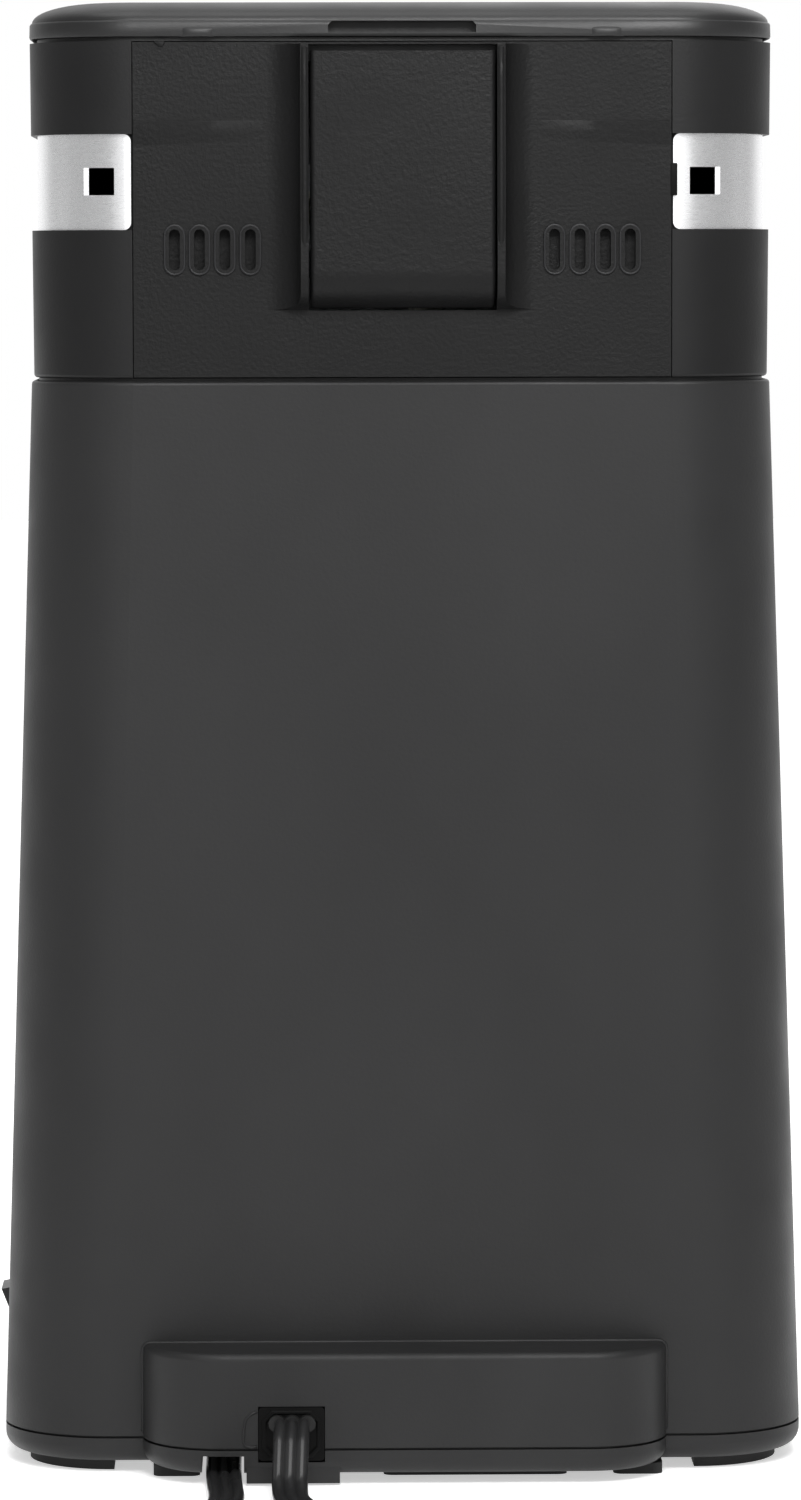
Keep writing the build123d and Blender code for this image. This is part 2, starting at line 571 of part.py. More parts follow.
with BuildPart() as gear_1:
    gear_y(GEAR_1_AXIS, GEAR_1_TEETH, MODULE_1, PHASE_GEAR_1, -8.5, -4.5)
    gear_y(GEAR_1_AXIS, PINION_TEETH, MODULE_2, 0.0, -14.8, -8.5)
    ring_y(GEAR_1_AXIS, AXLE_RADIUS + 0.05, 0, -30, 0, Mode.SUBTRACT)
gear_1.part.label = "gear_1"
export_step(gear_1.part, "parts/gear_1.step")

with BuildPart() as gear_2:
    gear_y(GEAR_2_AXIS, GEAR_2_TEETH, MODULE_2, PHASE_GEAR_2, -14.0, -10.0)
    gear_y(GEAR_2_AXIS, PINION_TEETH, MODULE_3, 0.0, -22.0, -14.0)
    ring_y(GEAR_2_AXIS, AXLE_RADIUS + 0.05, 0, -30, 0, Mode.SUBTRACT)
gear_2.part.label = "gear_2"
export_step(gear_2.part, "parts/gear_2.step")

with BuildPart() as output_gear:
    gear_y(FEED_AXIS, OUTPUT_TEETH, MODULE_3, PHASE_OUTPUT, -21.0, -16.0)
    ring_y(FEED_AXIS, FEED_SHAFT_RADIUS, 0, -30, 0, Mode.SUBTRACT)
output_gear.part.label = "output_gear"
export_step(output_gear.part, "parts/output_gear.step")

with BuildPart() as feed_shaft:
    ring_y(FEED_AXIS, FEED_SHAFT_RADIUS, 0, FEED_WHEEL_Y[1], -15.5)
    ring_y(FEED_AXIS, FEED_STUD_RADIUS, 0, -51.2, FEED_WHEEL_Y[1])
feed_shaft.part.label = "feed_shaft"
export_step(feed_shaft.part, "parts/feed_shaft.step")

with BuildPart() as feed_bushes:
    ring_y(FEED_AXIS, BUSH_RADIUS, FEED_SHAFT_RADIUS + 0.05, -27.5, -23.0)
    ring_y(FEED_AXIS, BUSH_RADIUS, FEED_SHAFT_RADIUS + 0.05, HEAD_FRONT, -36.0)
    ring_y(FEED_AXIS, 8.5, FEED_SHAFT_RADIUS + 0.05, -43.8, HEAD_FRONT)
feed_bushes.part.label = "feed_bushes"
export_step(feed_bushes.part, "parts/feed_bushes.step")

with BuildPart() as feed_wheel:
    gear_y(FEED_AXIS, FEED_WHEEL_TEETH, WHEEL_MODULE, 0.0, *FEED_WHEEL_Y)
    ring_y(FEED_AXIS, FEED_STUD_RADIUS, 0, *FRONT_CUT_Y, Mode.SUBTRACT)
feed_wheel.part.label = "feed_wheel"
export_step(feed_wheel.part, "parts/feed_wheel.step")

with BuildPart() as feed_nut:
    with BuildSketch(at_y(FEED_WHEEL_Y[0])):
        with Locations(FEED_AXIS):
            RegularPolygon(4.6, 6)
            Circle(FEED_STUD_RADIUS, mode=Mode.SUBTRACT)
    extrude(amount=2.4)
feed_nut.part.label = "feed_nut"
export_step(feed_nut.part, "parts/feed_nut.step")


# ---------------------------------------------------------------- motor
with BuildPart() as motor_stator:
    with BuildSketch(at_y(STATOR_Y[1])):
        rectangle_between((-28, 28), (184, STATOR_Z[1]))
        for side in (-1, 1):
            rectangle_between(sorted((side * 18, side * 28)), (STATOR_Z[0], 185))
        rectangle_between((-28, 28), CORE_LEG_Z)
        with Locations(ROTOR_AXIS):
            Circle(ROTOR_RADIUS + 0.5, mode=Mode.SUBTRACT)
        with Locations(*MOTOR_SCREWS):
            Circle(MOTOR_SCREW_RADIUS + 0.05, mode=Mode.SUBTRACT)
    extrude(amount=STATOR_Y[1] - STATOR_Y[0])
motor_stator.part.label = "motor_stator"
export_step(motor_stator.part, "parts/motor_stator.step")

with BuildPart() as motor_coil:
    block((-16.5, 16.5), (1.5, 34.5), (150, 177))
    fillet(motor_coil.edges().filter_by(Axis.X), 5)
    block((-20, 20), STATOR_Y, CORE_LEG_Z, Mode.SUBTRACT)
motor_coil.part.label = "motor_coil"
export_step(motor_coil.part, "parts/motor_coil.step")

with BuildPart() as rotor_core:
    ring_y(ROTOR_AXIS, ROTOR_RADIUS, SHAFT_RADIUS, *STATOR_Y)
rotor_core.part.label = "rotor_core"
export_step(rotor_core.part, "parts/rotor_core.step")

with BuildPart() as rotor_shaft:
    ring_y(ROTOR_AXIS, SHAFT_RADIUS, 0, -2.9, 48.5)
    ring_y(ROTOR_AXIS, PINION_SHAFT_RADIUS, 0, -9.2, -2.9)
rotor_shaft.part.label = "rotor_shaft"
export_step(rotor_shaft.part, "parts/rotor_shaft.step")

with BuildPart() as motor_pinion:
    gear_y(ROTOR_AXIS, PINION_TEETH, MODULE_1, PHASE_ROTOR, -9.0, -4.0)
    ring_y(ROTOR_AXIS, PINION_SHAFT_RADIUS, 0, -20, 0, Mode.SUBTRACT)
motor_pinion.part.label = "motor_pinion"
export_step(motor_pinion.part, "parts/motor_pinion.step")

with BuildPart() as motor_bushes:
    ring_y(ROTOR_AXIS, 5.0, SHAFT_RADIUS + 0.04, -2.8, 2.5)
    ring_y(ROTOR_AXIS, 5.0, SHAFT_RADIUS + 0.04, 33.0, 38.0)
motor_bushes.part.label = "motor_bushes"
export_step(motor_bushes.part, "parts/motor_bushes.step")

with BuildPart() as rear_bracket:
    with BuildSketch(at_y(BRACKET_Y[1])):
        rectangle_between((-27, 27), (199, 213))
        for side in (-1, 1):
            rectangle_between(sorted((side * 18, side * 27)), (185, 227))
        with Locations(ROTOR_AXIS):
            Circle(5.0, mode=Mode.SUBTRACT)
        with Locations(*MOTOR_SCREWS):
            Circle(MOTOR_SCREW_RADIUS + 0.05, mode=Mode.SUBTRACT)
    extrude(amount=BRACKET_Y[1] - BRACKET_Y[0])
rear_bracket.part.label = "rear_bracket"
export_step(rear_bracket.part, "parts/rear_bracket.step")

with BuildPart() as motor_spacers:
    for centre in MOTOR_SCREWS:
        ring_y(centre, 4.0, MOTOR_SCREW_RADIUS + 0.05, REAR_PLATE_Y[1], STATOR_Y[0])
        ring_y(centre, 4.0, MOTOR_SCREW_RADIUS + 0.05, STATOR_Y[1], BRACKET_Y[0])
motor_spacers.part.label = "motor_spacers"
export_step(motor_spacers.part, "parts/motor_spacers.step")

with BuildPart() as motor_screws:
    for centre in MOTOR_SCREWS:
        ring_y(centre, MOTOR_SCREW_RADIUS, 0, REAR_PLATE_Y[0], BRACKET_Y[1])
        ring_y(centre, 3.6, 0, BRACKET_Y[1], BRACKET_Y[1] + 2.4)
motor_screws.part.label = "motor_screws"
export_step(motor_screws.part, "parts/motor_screws.step")

FAN_BLADES = 7
with BuildPart(Plane((ROTOR_AXIS[0], 43.5, ROTOR_AXIS[1]), x_dir=(1, 0, 0), z_dir=(0, -1, 0))) as cooling_fan:
    Cylinder(5.0, 7.0)
    with PolarLocations(11.0, FAN_BLADES):
        Box(15.0, 1.4, 7.0, rotation=(35, 0, 0))
    Cylinder(SHAFT_RADIUS, 12.0, mode=Mode.SUBTRACT)
cooling_fan.part.label = "cooling_fan"
export_step(cooling_fan.part, "parts/cooling_fan.step")


# ---------------------------------------------------------------- lever and cutter
LEVER_SHAFT_RADIUS = 3.5
ARM_Y = (-57.0, -52.5)
STUD_RADIUS = 2.5
HINGE_Y, HINGE_Z = -60.0, 212.0
HINGE_PIN_RADIUS = 1.0
MAGNET_CENTRE = (-12.5, 190.0)
MAGNET_RADIUS = 6.5
MAGNET_STRAP_X = (-16.7, -8.3)
PIN_X = (-19.4, -5.6)
THROUGH_Y = (-70.0, -30.0)


def along_hinge(radius, x_range, mode=Mode.ADD):
    """A round bar or hole on the magnet's hinge axis, between two X values."""
    with BuildSketch(Plane.YZ.offset(x_range[0])) as section:
        with Locations((HINGE_Y, HINGE_Z)):
            Circle(radius)
    extrude(section.sketch, amount=x_range[1] - x_range[0], mode=mode)


with BuildPart() as lever_bush:
    ring_y(LEVER_AXIS, LEVER_BUSH_RADIUS, LEVER_SHAFT_RADIUS + 0.05, HEAD_FRONT, -36.0)
    ring_y(LEVER_AXIS, 8.0, LEVER_SHAFT_RADIUS + 0.05, -43.2, HEAD_FRONT)
lever_bush.part.label = "lever_bush"
export_step(lever_bush.part, "parts/lever_bush.step")

with BuildPart() as lever_arm:
    with BuildSketch(at_y(ARM_Y[1])):
        with Locations(LEVER_AXIS):
            Circle(9.0)
        rectangle_between((-26, 40), (206.5, 221.0))
    extrude(amount=ARM_Y[1] - ARM_Y[0])
    ring_y(LEVER_AXIS, 6.5, 0, ARM_Y[1], -43.5)
    block((22, 58.5), (-66, -50), (210.5, 221))
    grip_edges = lever_arm.edges().filter_by_position(Axis.X, 58.4, 58.6)
    fillet(grip_edges.filter_by(Axis.Z), 5.0)
    block((24.5, 54), (-63, -57.5), (209, 218.5), Mode.SUBTRACT)
    for lug_x in ((-19.0, -17.0), (-8.0, -6.0)):
        block(lug_x, (HINGE_Y - 2.2, ARM_Y[0]), (HINGE_Z - 2.6, HINGE_Z + 2.6))
    along_hinge(HINGE_PIN_RADIUS, (-30, 0), Mode.SUBTRACT)
    ring_y(LEVER_AXIS, LEVER_SHAFT_RADIUS, 0, *THROUGH_Y, Mode.SUBTRACT)
    ring_y(CUTTER_AXIS, STUD_RADIUS, 0, *THROUGH_Y, Mode.SUBTRACT)
lever_arm.part.label = "lever_arm"
export_step(lever_arm.part, "parts/lever_arm.step")

CAM_TIP = (-15.5, 206.8)
with BuildPart() as lever_shaft:
    ring_y(LEVER_AXIS, LEVER_SHAFT_RADIUS, 0, -57.0, -28.5)
    ring_y(LEVER_AXIS, 5.5, 0, -58.8, -57.0)
    ring_y(LEVER_AXIS, 5.2, 0, -34.0, -29.0)
    cam_dx, cam_dz = CAM_TIP[0] - LEVER_AXIS[0], CAM_TIP[1] - LEVER_AXIS[1]
    with BuildSketch(at_y(-29.0)):
        with Locations((LEVER_AXIS[0] + cam_dx / 2, LEVER_AXIS[1] + cam_dz / 2)):
            SlotCenterToCenter(hypot(cam_dx, cam_dz), 4.0, rotation=degrees(atan2(cam_dz, cam_dx)))
    extrude(amount=5.0)
lever_shaft.part.label = "lever_shaft"
export_step(lever_shaft.part, "parts/lever_shaft.step")

SPRING_RADIUS, SPRING_WIRE_RADIUS, SPRING_PITCH, SPRING_TURNS = 8.2, 0.7, 1.55, 4.3
with BuildPart() as lever_spring:
    with BuildLine() as spring_line:
        Helix(
            SPRING_PITCH, SPRING_PITCH * SPRING_TURNS, SPRING_RADIUS,
            center=(LEVER_AXIS[0], -44.3, LEVER_AXIS[1]), direction=(0, -1, 0),
        )
    spring_wire = spring_line.wire()
    with BuildSketch(Plane(spring_wire @ 0, z_dir=spring_wire % 0)):
        Circle(SPRING_WIRE_RADIUS)
    sweep(path=spring_wire, is_frenet=True)
lever_spring.part.label = "lever_spring"
export_step(lever_spring.part, "parts/lever_spring.step")

with BuildPart() as cutter_wheel:
    ring_y(CUTTER_AXIS, 9.0, 0, -50.1, -49.1)
    chamfer(cutter_wheel.edges().group_by(Axis.Y)[-1], 0.8, 0.6)
    ring_y(CUTTER_AXIS, 4.5, 0, -52.2, -50.1)
    ring_y(CUTTER_AXIS, STUD_RADIUS + 0.05, 0, *THROUGH_Y, Mode.SUBTRACT)
cutter_wheel.part.label = "cutter_wheel"
export_step(cutter_wheel.part, "parts/cutter_wheel.step")

with BuildPart() as cutter_stud:
    ring_y(CUTTER_AXIS, STUD_RADIUS, 0, -57.0, -48.9)
    ring_y(CUTTER_AXIS, 4.5, 0, -58.8, -57.0)
cutter_stud.part.label = "cutter_stud"
export_step(cutter_stud.part, "parts/cutter_stud.step")

with BuildPart() as magnet_arm:
    block(MAGNET_STRAP_X, (HINGE_Y - 1.1, HINGE_Y + 1.1), (196, HINGE_Z))
    along_hinge(2.3, MAGNET_STRAP_X)
    ring_y(MAGNET_CENTRE, MAGNET_RADIUS + 1.5, 0, -62.5, -59.0)
    ring_y(MAGNET_CENTRE, MAGNET_RADIUS, 0, -61.0, -50, Mode.SUBTRACT)
    along_hinge(HINGE_PIN_RADIUS + 0.06, (-30, 0), Mode.SUBTRACT)
magnet_arm.part.label = "magnet_arm"
export_step(magnet_arm.part, "parts/magnet_arm.step")

with BuildPart() as magnet:
    ring_y(MAGNET_CENTRE, MAGNET_RADIUS, 0, -61.0, -58.5)
magnet.part.label = "magnet"
export_step(magnet.part, "parts/magnet.step")

with BuildPart() as magnet_pin:
    along_hinge(HINGE_PIN_RADIUS, PIN_X)
magnet_pin.part.label = "magnet_pin"
export_step(magnet_pin.part, "parts/magnet_pin.step")


# ---------------------------------------------------------------- switches
with BuildPart() as start_switch:
    block((-24, -4), (-34.5, FRONT_PLATE_Y[0]), (188, 201))
    block((-17.4, -13.6), (-32.4, -28.6), (192, 210), Mode.SUBTRACT)
start_switch.part.label = "start_switch"
export_step(start_switch.part, "parts/start_switch.step")

with BuildPart() as switch_plunger:
    block((-17.2, -13.8), (-32.2, -28.8), (194.2, 204.3))
switch_plunger.part.label = "switch_plunger"
export_step(switch_plunger.part, "parts/switch_plunger.step")

with BuildPart() as rocker_housing:
    block((ROCKER_BACK_X, ROCKER_FACE_X), (ROCKER_Y - 6.4, ROCKER_Y + 6.4), (ROCKER_Z - 7.4, ROCKER_Z + 7.4))
    well_x = (ROCKER_BACK_X + 2.5, ROCKER_FACE_X + 5)
    block(well_x, (ROCKER_Y - 5.0, ROCKER_Y + 5.0), (ROCKER_Z - 6.7, ROCKER_Z + 6.7), Mode.SUBTRACT)
    ring_y((ROCKER_PIVOT_X, ROCKER_Z), 1.0, 0, ROCKER_Y - 5.9, ROCKER_Y + 5.9, Mode.SUBTRACT)
    for terminal_z in (ROCKER_Z - 4.0, ROCKER_Z + 4.0):
        terminal_x = (TERMINAL_X, ROCKER_BACK_X)
        block(terminal_x, (ROCKER_Y - 2.4, ROCKER_Y + 2.4), (terminal_z - 0.4, terminal_z + 0.4))
rocker_housing.part.label = "rocker_housing"
export_step(rocker_housing.part, "parts/rocker_housing.step")


def tilted(x, z):
    """A point of the rocker's button, given beside its pivot, turned to the rest position."""
    turn = radians(ROCKER_TILT)
    return (ROCKER_PIVOT_X + x * cos(turn) + z * sin(turn), ROCKER_Z - x * sin(turn) + z * cos(turn))


with BuildPart() as rocker_button:
    with BuildSketch(at_y(ROCKER_Y + 4.8)):
        with BuildLine():
            Polyline(
                tilted(-1.6, -3.6), tilted(0.6, -6.0), tilted(4.2, -6.0), tilted(3.0, 0.0),
                tilted(4.2, 6.0), tilted(0.6, 6.0), tilted(-1.6, 3.6), close=True,
            )
        make_face()
    extrude(amount=9.6)
    ring_y((ROCKER_PIVOT_X, ROCKER_Z), 1.05, 0, ROCKER_Y - 6, ROCKER_Y + 6, Mode.SUBTRACT)
rocker_button.part.label = "rocker_button"
export_step(rocker_button.part, "parts/rocker_button.step")

with BuildPart() as rocker_pin:
    ring_y((ROCKER_PIVOT_X, ROCKER_Z), 1.0, 0, ROCKER_Y - 5.9, ROCKER_Y + 5.9)
rocker_pin.part.label = "rocker_pin"
export_step(rocker_pin.part, "parts/rocker_pin.step")


# ---------------------------------------------------------------- cord and wiring
GLAND_EXIT = (18.4, 66.2, 10.4)
with BuildPart() as cord_gland:
    block((GLAND_X[0] + 0.1, GLAND_X[1] - 0.1), (52, 66.2), (GLAND_Z[0] + 0.3, GLAND_Z[1] - 0.1))
    fillet(cord_gland.edges().filter_by(Axis.Y), 0.6)
cord_gland.part.label = "cord_gland"
export_step(cord_gland.part, "parts/cord_gland.step")

WIRE_END_X = TERMINAL_X - 0.1
WIRES = [
    [
        (18.4, 52.0, 8.0), (22.0, 44.0, 9.0), (34.0, 30.0, 14.0), (42.0, 12.0, 21.0),
        (WIRE_END_X, ROCKER_Y, 23.2),
    ],
    [
        (WIRE_END_X, ROCKER_Y, 13.8), (46.0, 2.0, 30.0), (38.0, 30.0, 70.0),
        (36.0, 38.0, 120.0), (26.0, 38.0, 158.0), (16.6, 30.0, 164.0),
    ],
    [
        (-16.6, 30.0, 164.0), (-30.0, 34.0, 172.0), (-50.5, 20.0, 182.0), (-54.0, -10.0, 190.0),
        (-52.0, -31.0, 193.5), (-38.0, -32.5, 193.0), (-24.1, -30.5, 193.0),
    ],
]
with BuildPart() as wiring:
    for route in WIRES:
        with BuildLine() as wire_path:
            FilletPolyline(*route, radius=arc_radii(route))
        with BuildSketch(Plane(wire_path.wire() @ 0, z_dir=wire_path.wire() % 0)):
            Circle(WIRE_RADIUS)
        sweep(path=wire_path.wire())
wiring.part.label = "wiring"
export_step(wiring.part, "parts/wiring.step")

FLOOR = CORD_DIAMETER / 2
CORD_ROUTE = [
    GLAND_EXIT,
    (18.5, 70.6, 9.8),
    (18.7, 75.0, 6.2),
    (18.9, 80.2, FLOOR + 0.2),
    (18.4, 87.0, FLOOR),
    (15.5, 96.0, FLOOR),
    (9.0, 106.0, FLOOR),
    (-1.0, 116.0, FLOOR),
    (-8.5, 128.0, FLOOR),
    (-8.0, 142.0, FLOOR),
    (0.5, 153.5, FLOOR),
    (14.0, 158.0, FLOOR),
    (28.0, 154.5, FLOOR),
    (37.5, 144.0, FLOOR),
    (40.0, 130.0, FLOOR),
    (36.5, 115.5, FLOOR),
    (31.0, 101.5, FLOOR),
    (28.6, 86.0, FLOOR),
    (29.4, 70.0, FLOOR),
    (29.6, 52.0, FLOOR),
    (29.5, 22.0, FLOOR),
    (29.7, -12.0, FLOOR),
    (29.5, -42.0, FLOOR),
    (30.5, -58.0, FLOOR + 0.2),
    (31.0, -73.0, FLOOR + 0.4),
]
TAIL_ROUTE = [
    (-10.0, -115.2, 7.3),
    (-21.0, -115.6, 7.2),
    (-32.0, -113.4, 7.1),
    (-41.5, -107.6, 7.0),
    (-47.6, -98.6, 7.0),
    (-49.6, -88.5, 7.0),
]


def cord_tube(name, route):
    """A tube of straight runs and tangent arcs along a route, with its radii printed."""
    radii = arc_radii(route)
    with BuildPart() as tube:
        with BuildLine() as path:
            FilletPolyline(*route, radius=radii)
        wire = path.wire()
        with BuildSketch(Plane(wire @ 0, z_dir=wire % 0)):
            Circle(CORD_DIAMETER / 2)
        sweep(path=wire)
    print_tube(name, radii, CORD_DIAMETER, tube.part, wire.length)
    return tube


cord = cord_tube("cord", CORD_ROUTE)
cord.part.label = "cord"
export_step(cord.part, "parts/cord.step")

cord_tail = cord_tube("cord_tail", TAIL_ROUTE)
cord_tail.part.label = "cord_tail"
export_step(cord_tail.part, "parts/cord_tail.step")

with BuildPart() as cord_coil:
    with BuildSketch(Plane.XY.offset(COIL_HEIGHT[0])):
        with Locations(COIL_CENTRE):
            Circle(COIL_RADIUS + COIL_HALF_WIDTH)
            Circle(COIL_RADIUS - COIL_HALF_WIDTH, mode=Mode.SUBTRACT)
    extrude(amount=COIL_HEIGHT[1] - COIL_HEIGHT[0])
    fillet(cord_coil.edges().filter_by(GeomType.CIRCLE), 1.5)
cord_coil.part.label = "cord_coil"
export_step(cord_coil.part, "parts/cord_coil.step")

TIE_THICKNESS = 0.7
with BuildPart() as cord_tie:
    tie_y = COIL_CENTRE[1] + COIL_RADIUS
    near_y, far_y = tie_y - COIL_HALF_WIDTH, tie_y + COIL_HALF_WIDTH
    block((-2.5, 2.5), (near_y - TIE_THICKNESS, far_y + TIE_THICKNESS), (0, COIL_HEIGHT[1] + TIE_THICKNESS))
    block((-5, 5), (near_y, far_y), COIL_HEIGHT, Mode.SUBTRACT)
cord_tie.part.label = "cord_tie"
export_step(cord_tie.part, "parts/cord_tie.step")

PLUG_LENGTH, PLUG_WIDTH, PLUG_THICKNESS = 24.0, 22.0, 13.6
BLADE_LENGTH, BLADE_WIDTH, BLADE_THICKNESS, BLADE_SPACING = 16.5, 6.35, 1.5, 12.7
PLUG_DIRECTION = (Vector(*TAIL_ROUTE[-1]) - Vector(*TAIL_ROUTE[-2])).normalized()
PLUG_PLANE = Plane(TAIL_ROUTE[-1], x_dir=(0, 0, 1), z_dir=PLUG_DIRECTION)

with BuildPart(PLUG_PLANE) as plug_body:
    with BuildSketch(PLUG_PLANE):
        RectangleRounded(PLUG_THICKNESS * 0.8, PLUG_WIDTH * 0.62, 4)
    with BuildSketch(PLUG_PLANE.offset(PLUG_LENGTH * 0.45)):
        RectangleRounded(PLUG_THICKNESS, PLUG_WIDTH, 4)
    loft()
    with BuildSketch(PLUG_PLANE.offset(PLUG_LENGTH * 0.45)):
        RectangleRounded(PLUG_THICKNESS, PLUG_WIDTH, 4)
    extrude(amount=PLUG_LENGTH * 0.55)
plug_body.part.label = "plug_body"
export_step(plug_body.part, "parts/plug_body.step")

with BuildPart() as plug_blades:
    with BuildSketch(PLUG_PLANE.offset(PLUG_LENGTH)):
        with Locations((0, -BLADE_SPACING / 2), (0, BLADE_SPACING / 2)):
            Rectangle(BLADE_WIDTH, BLADE_THICKNESS)
    extrude(amount=BLADE_LENGTH)
plug_blades.part.label = "plug_blades"
export_step(plug_blades.part, "parts/plug_blades.step")
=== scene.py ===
"""Looks for the extra-tall electric can opener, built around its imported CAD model. Metres."""

import json
import math

import bmesh
import bpy
from mathutils import Matrix, Vector


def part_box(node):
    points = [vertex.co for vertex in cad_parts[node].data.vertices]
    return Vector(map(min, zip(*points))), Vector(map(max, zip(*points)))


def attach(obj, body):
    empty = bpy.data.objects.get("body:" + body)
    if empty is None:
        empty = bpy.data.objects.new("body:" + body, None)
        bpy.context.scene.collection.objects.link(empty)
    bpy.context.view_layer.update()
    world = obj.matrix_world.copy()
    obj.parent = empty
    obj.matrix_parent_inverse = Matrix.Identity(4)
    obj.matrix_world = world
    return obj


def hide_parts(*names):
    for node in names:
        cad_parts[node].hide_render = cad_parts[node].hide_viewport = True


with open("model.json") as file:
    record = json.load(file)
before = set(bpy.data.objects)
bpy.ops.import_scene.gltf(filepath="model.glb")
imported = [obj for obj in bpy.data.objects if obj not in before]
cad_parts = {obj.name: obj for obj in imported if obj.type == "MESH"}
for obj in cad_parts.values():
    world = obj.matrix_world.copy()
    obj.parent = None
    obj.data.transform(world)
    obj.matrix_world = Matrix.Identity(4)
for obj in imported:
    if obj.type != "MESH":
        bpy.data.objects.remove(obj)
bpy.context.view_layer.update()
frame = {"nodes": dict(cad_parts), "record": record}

MM = 0.001
nodes = frame["nodes"]
REAR_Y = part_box("head_shell")[1].y


# ---------------------------------------------------------------- camera
CAMERA_SIDE = 0.0198
CAMERA_DISTANCE = 1.064
CAMERA_HEIGHT = 0.1964
CAMERA_TURN = 1.04
CAMERA_TILT = 4.2
CAMERA_ROLL = 0.114
CAMERA_LENS = 158.1


def make_camera():
    """A long lens behind the opener, at lid height, tilted down and turned a little towards -X."""
    data = bpy.data.cameras.new("camera")
    data.lens = CAMERA_LENS
    data.sensor_width = 36.0
    data.clip_start, data.clip_end = 0.05, 20.0
    camera = bpy.data.objects.new("camera", data)
    turn, tilt = math.radians(CAMERA_TURN), math.radians(CAMERA_TILT)
    look = Vector((-math.sin(turn) * math.cos(tilt), -math.cos(turn) * math.cos(tilt), -math.sin(tilt)))
    level = look.to_track_quat("-Z", "Y").to_matrix()
    roll = Matrix.Rotation(math.radians(-CAMERA_ROLL), 3, "Z")
    camera.rotation_euler = (level @ roll).to_euler()
    camera.location = (CAMERA_SIDE, REAR_Y + CAMERA_DISTANCE, CAMERA_HEIGHT)
    bpy.context.scene.collection.objects.link(camera)
    bpy.context.scene.camera = camera


make_camera()


# ---------------------------------------------------------------- helpers
def link(name, mesh):
    """A new object for a mesh, shaded smooth."""
    for polygon in mesh.polygons:
        polygon.use_smooth = True
    piece = bpy.data.objects.new(name, mesh)
    bpy.context.scene.collection.objects.link(piece)
    return piece


def mesh_from(name, points, faces):
    """An object from points and faces, with its normals facing out."""
    mesh = bpy.data.meshes.new(name)
    mesh.from_pydata([tuple(p) for p in points], [], faces)
    shape = bmesh.new()
    shape.from_mesh(mesh)
    bmesh.ops.recalc_face_normals(shape, faces=shape.faces)
    shape.to_mesh(mesh)
    shape.free()
    return link(name, mesh)


def sharpen(piece, degrees=35):
    """Smooth shading with hard edges above an angle."""
    piece.data.set_sharp_from_angle(angle=math.radians(degrees))


def nurbs_line(name, points):
    """The points along the smooth line that a cord's control points describe."""
    curve = bpy.data.curves.new(name, "CURVE")
    curve.dimensions = "3D"
    curve.resolution_u = 10
    spline = curve.splines.new("NURBS")
    spline.points.add(len(points) - 1)
    for place, point in zip(spline.points, points):
        place.co = (*point, 1.0)
    spline.order_u = 3
    spline.use_endpoint_u = True
    holder = bpy.data.objects.new(name, curve)
    line_mesh = bpy.data.meshes.new_from_object(holder)
    line = [vertex.co.copy() for vertex in line_mesh.vertices]
    bpy.data.objects.remove(holder)
    bpy.data.curves.remove(curve)
    bpy.data.meshes.remove(line_mesh)
    return line


def flat_tube(name, line, section, upright=Vector((0, 0, 1)), swell=None):
    """A closed tube along a line; section holds (across, up) pairs and swell a size for each point."""
    points, faces = [], []
    count = len(section)
    for i, place in enumerate(line):
        ahead = line[min(i + 1, len(line) - 1)] - line[max(i - 1, 0)]
        along = ahead.normalized()
        across = along.cross(upright).normalized()
        up = across.cross(along)
        size = swell[i] if swell else 1.0
        points += [place + (across * a + up * u) * size for a, u in section]
    for i in range(len(line) - 1):
        for k in range(count):
            n = (k + 1) % count
            faces.append((i * count + k, i * count + n, (i + 1) * count + n, (i + 1) * count + k))
    faces.append(tuple(range(count)))
    last = (len(line) - 1) * count
    faces.append(tuple(range(last + count - 1, last - 1, -1)))
    return mesh_from(name, points, faces)


# ---------------------------------------------------------------- cord
RIB_RADIUS = 1.05 * MM
RIB_SPACING = 1.85 * MM
CORD_FLOOR = 1.3
COIL_CENTRE = (0.0, -84.0)
COIL_RADIUS = 31.0
COIL_STEP = 20.0
COIL_TURNS = 2.25
COIL_PITCH = 2.6

CORD_OUT = [
    (18.4, 66.2, 10.4), (18.5, 70.6, 9.8), (18.7, 75.0, 6.2), (18.9, 80.2, CORD_FLOOR + 0.3),
    (18.4, 87.0, CORD_FLOOR), (15.5, 96.0, CORD_FLOOR), (9.0, 106.0, CORD_FLOOR),
    (-1.0, 116.0, CORD_FLOOR), (-8.5, 128.0, CORD_FLOOR), (-8.0, 142.0, CORD_FLOOR),
    (0.5, 153.5, CORD_FLOOR), (14.0, 158.0, CORD_FLOOR), (28.0, 154.5, CORD_FLOOR),
    (37.5, 144.0, CORD_FLOOR), (40.0, 130.0, CORD_FLOOR), (36.5, 115.5, CORD_FLOOR),
    (31.0, 101.5, CORD_FLOOR), (28.6, 86.0, CORD_FLOOR), (29.4, 70.0, CORD_FLOOR),
    (29.6, 52.0, CORD_FLOOR), (29.5, 22.0, CORD_FLOOR), (29.7, -12.0, CORD_FLOOR),
    (29.5, -42.0, CORD_FLOOR), (30.5, -58.0, CORD_FLOOR + 0.1), (31.0, -73.0, CORD_FLOOR + 0.2),
]
CORD_TAIL = [
    (-10.0, -115.2, 7.3), (-21.0, -115.6, 7.2), (-32.0, -113.4, 7.1),
    (-41.5, -107.6, 7.0), (-47.6, -98.6, 7.0), (-49.6, -88.5, 7.0),
]


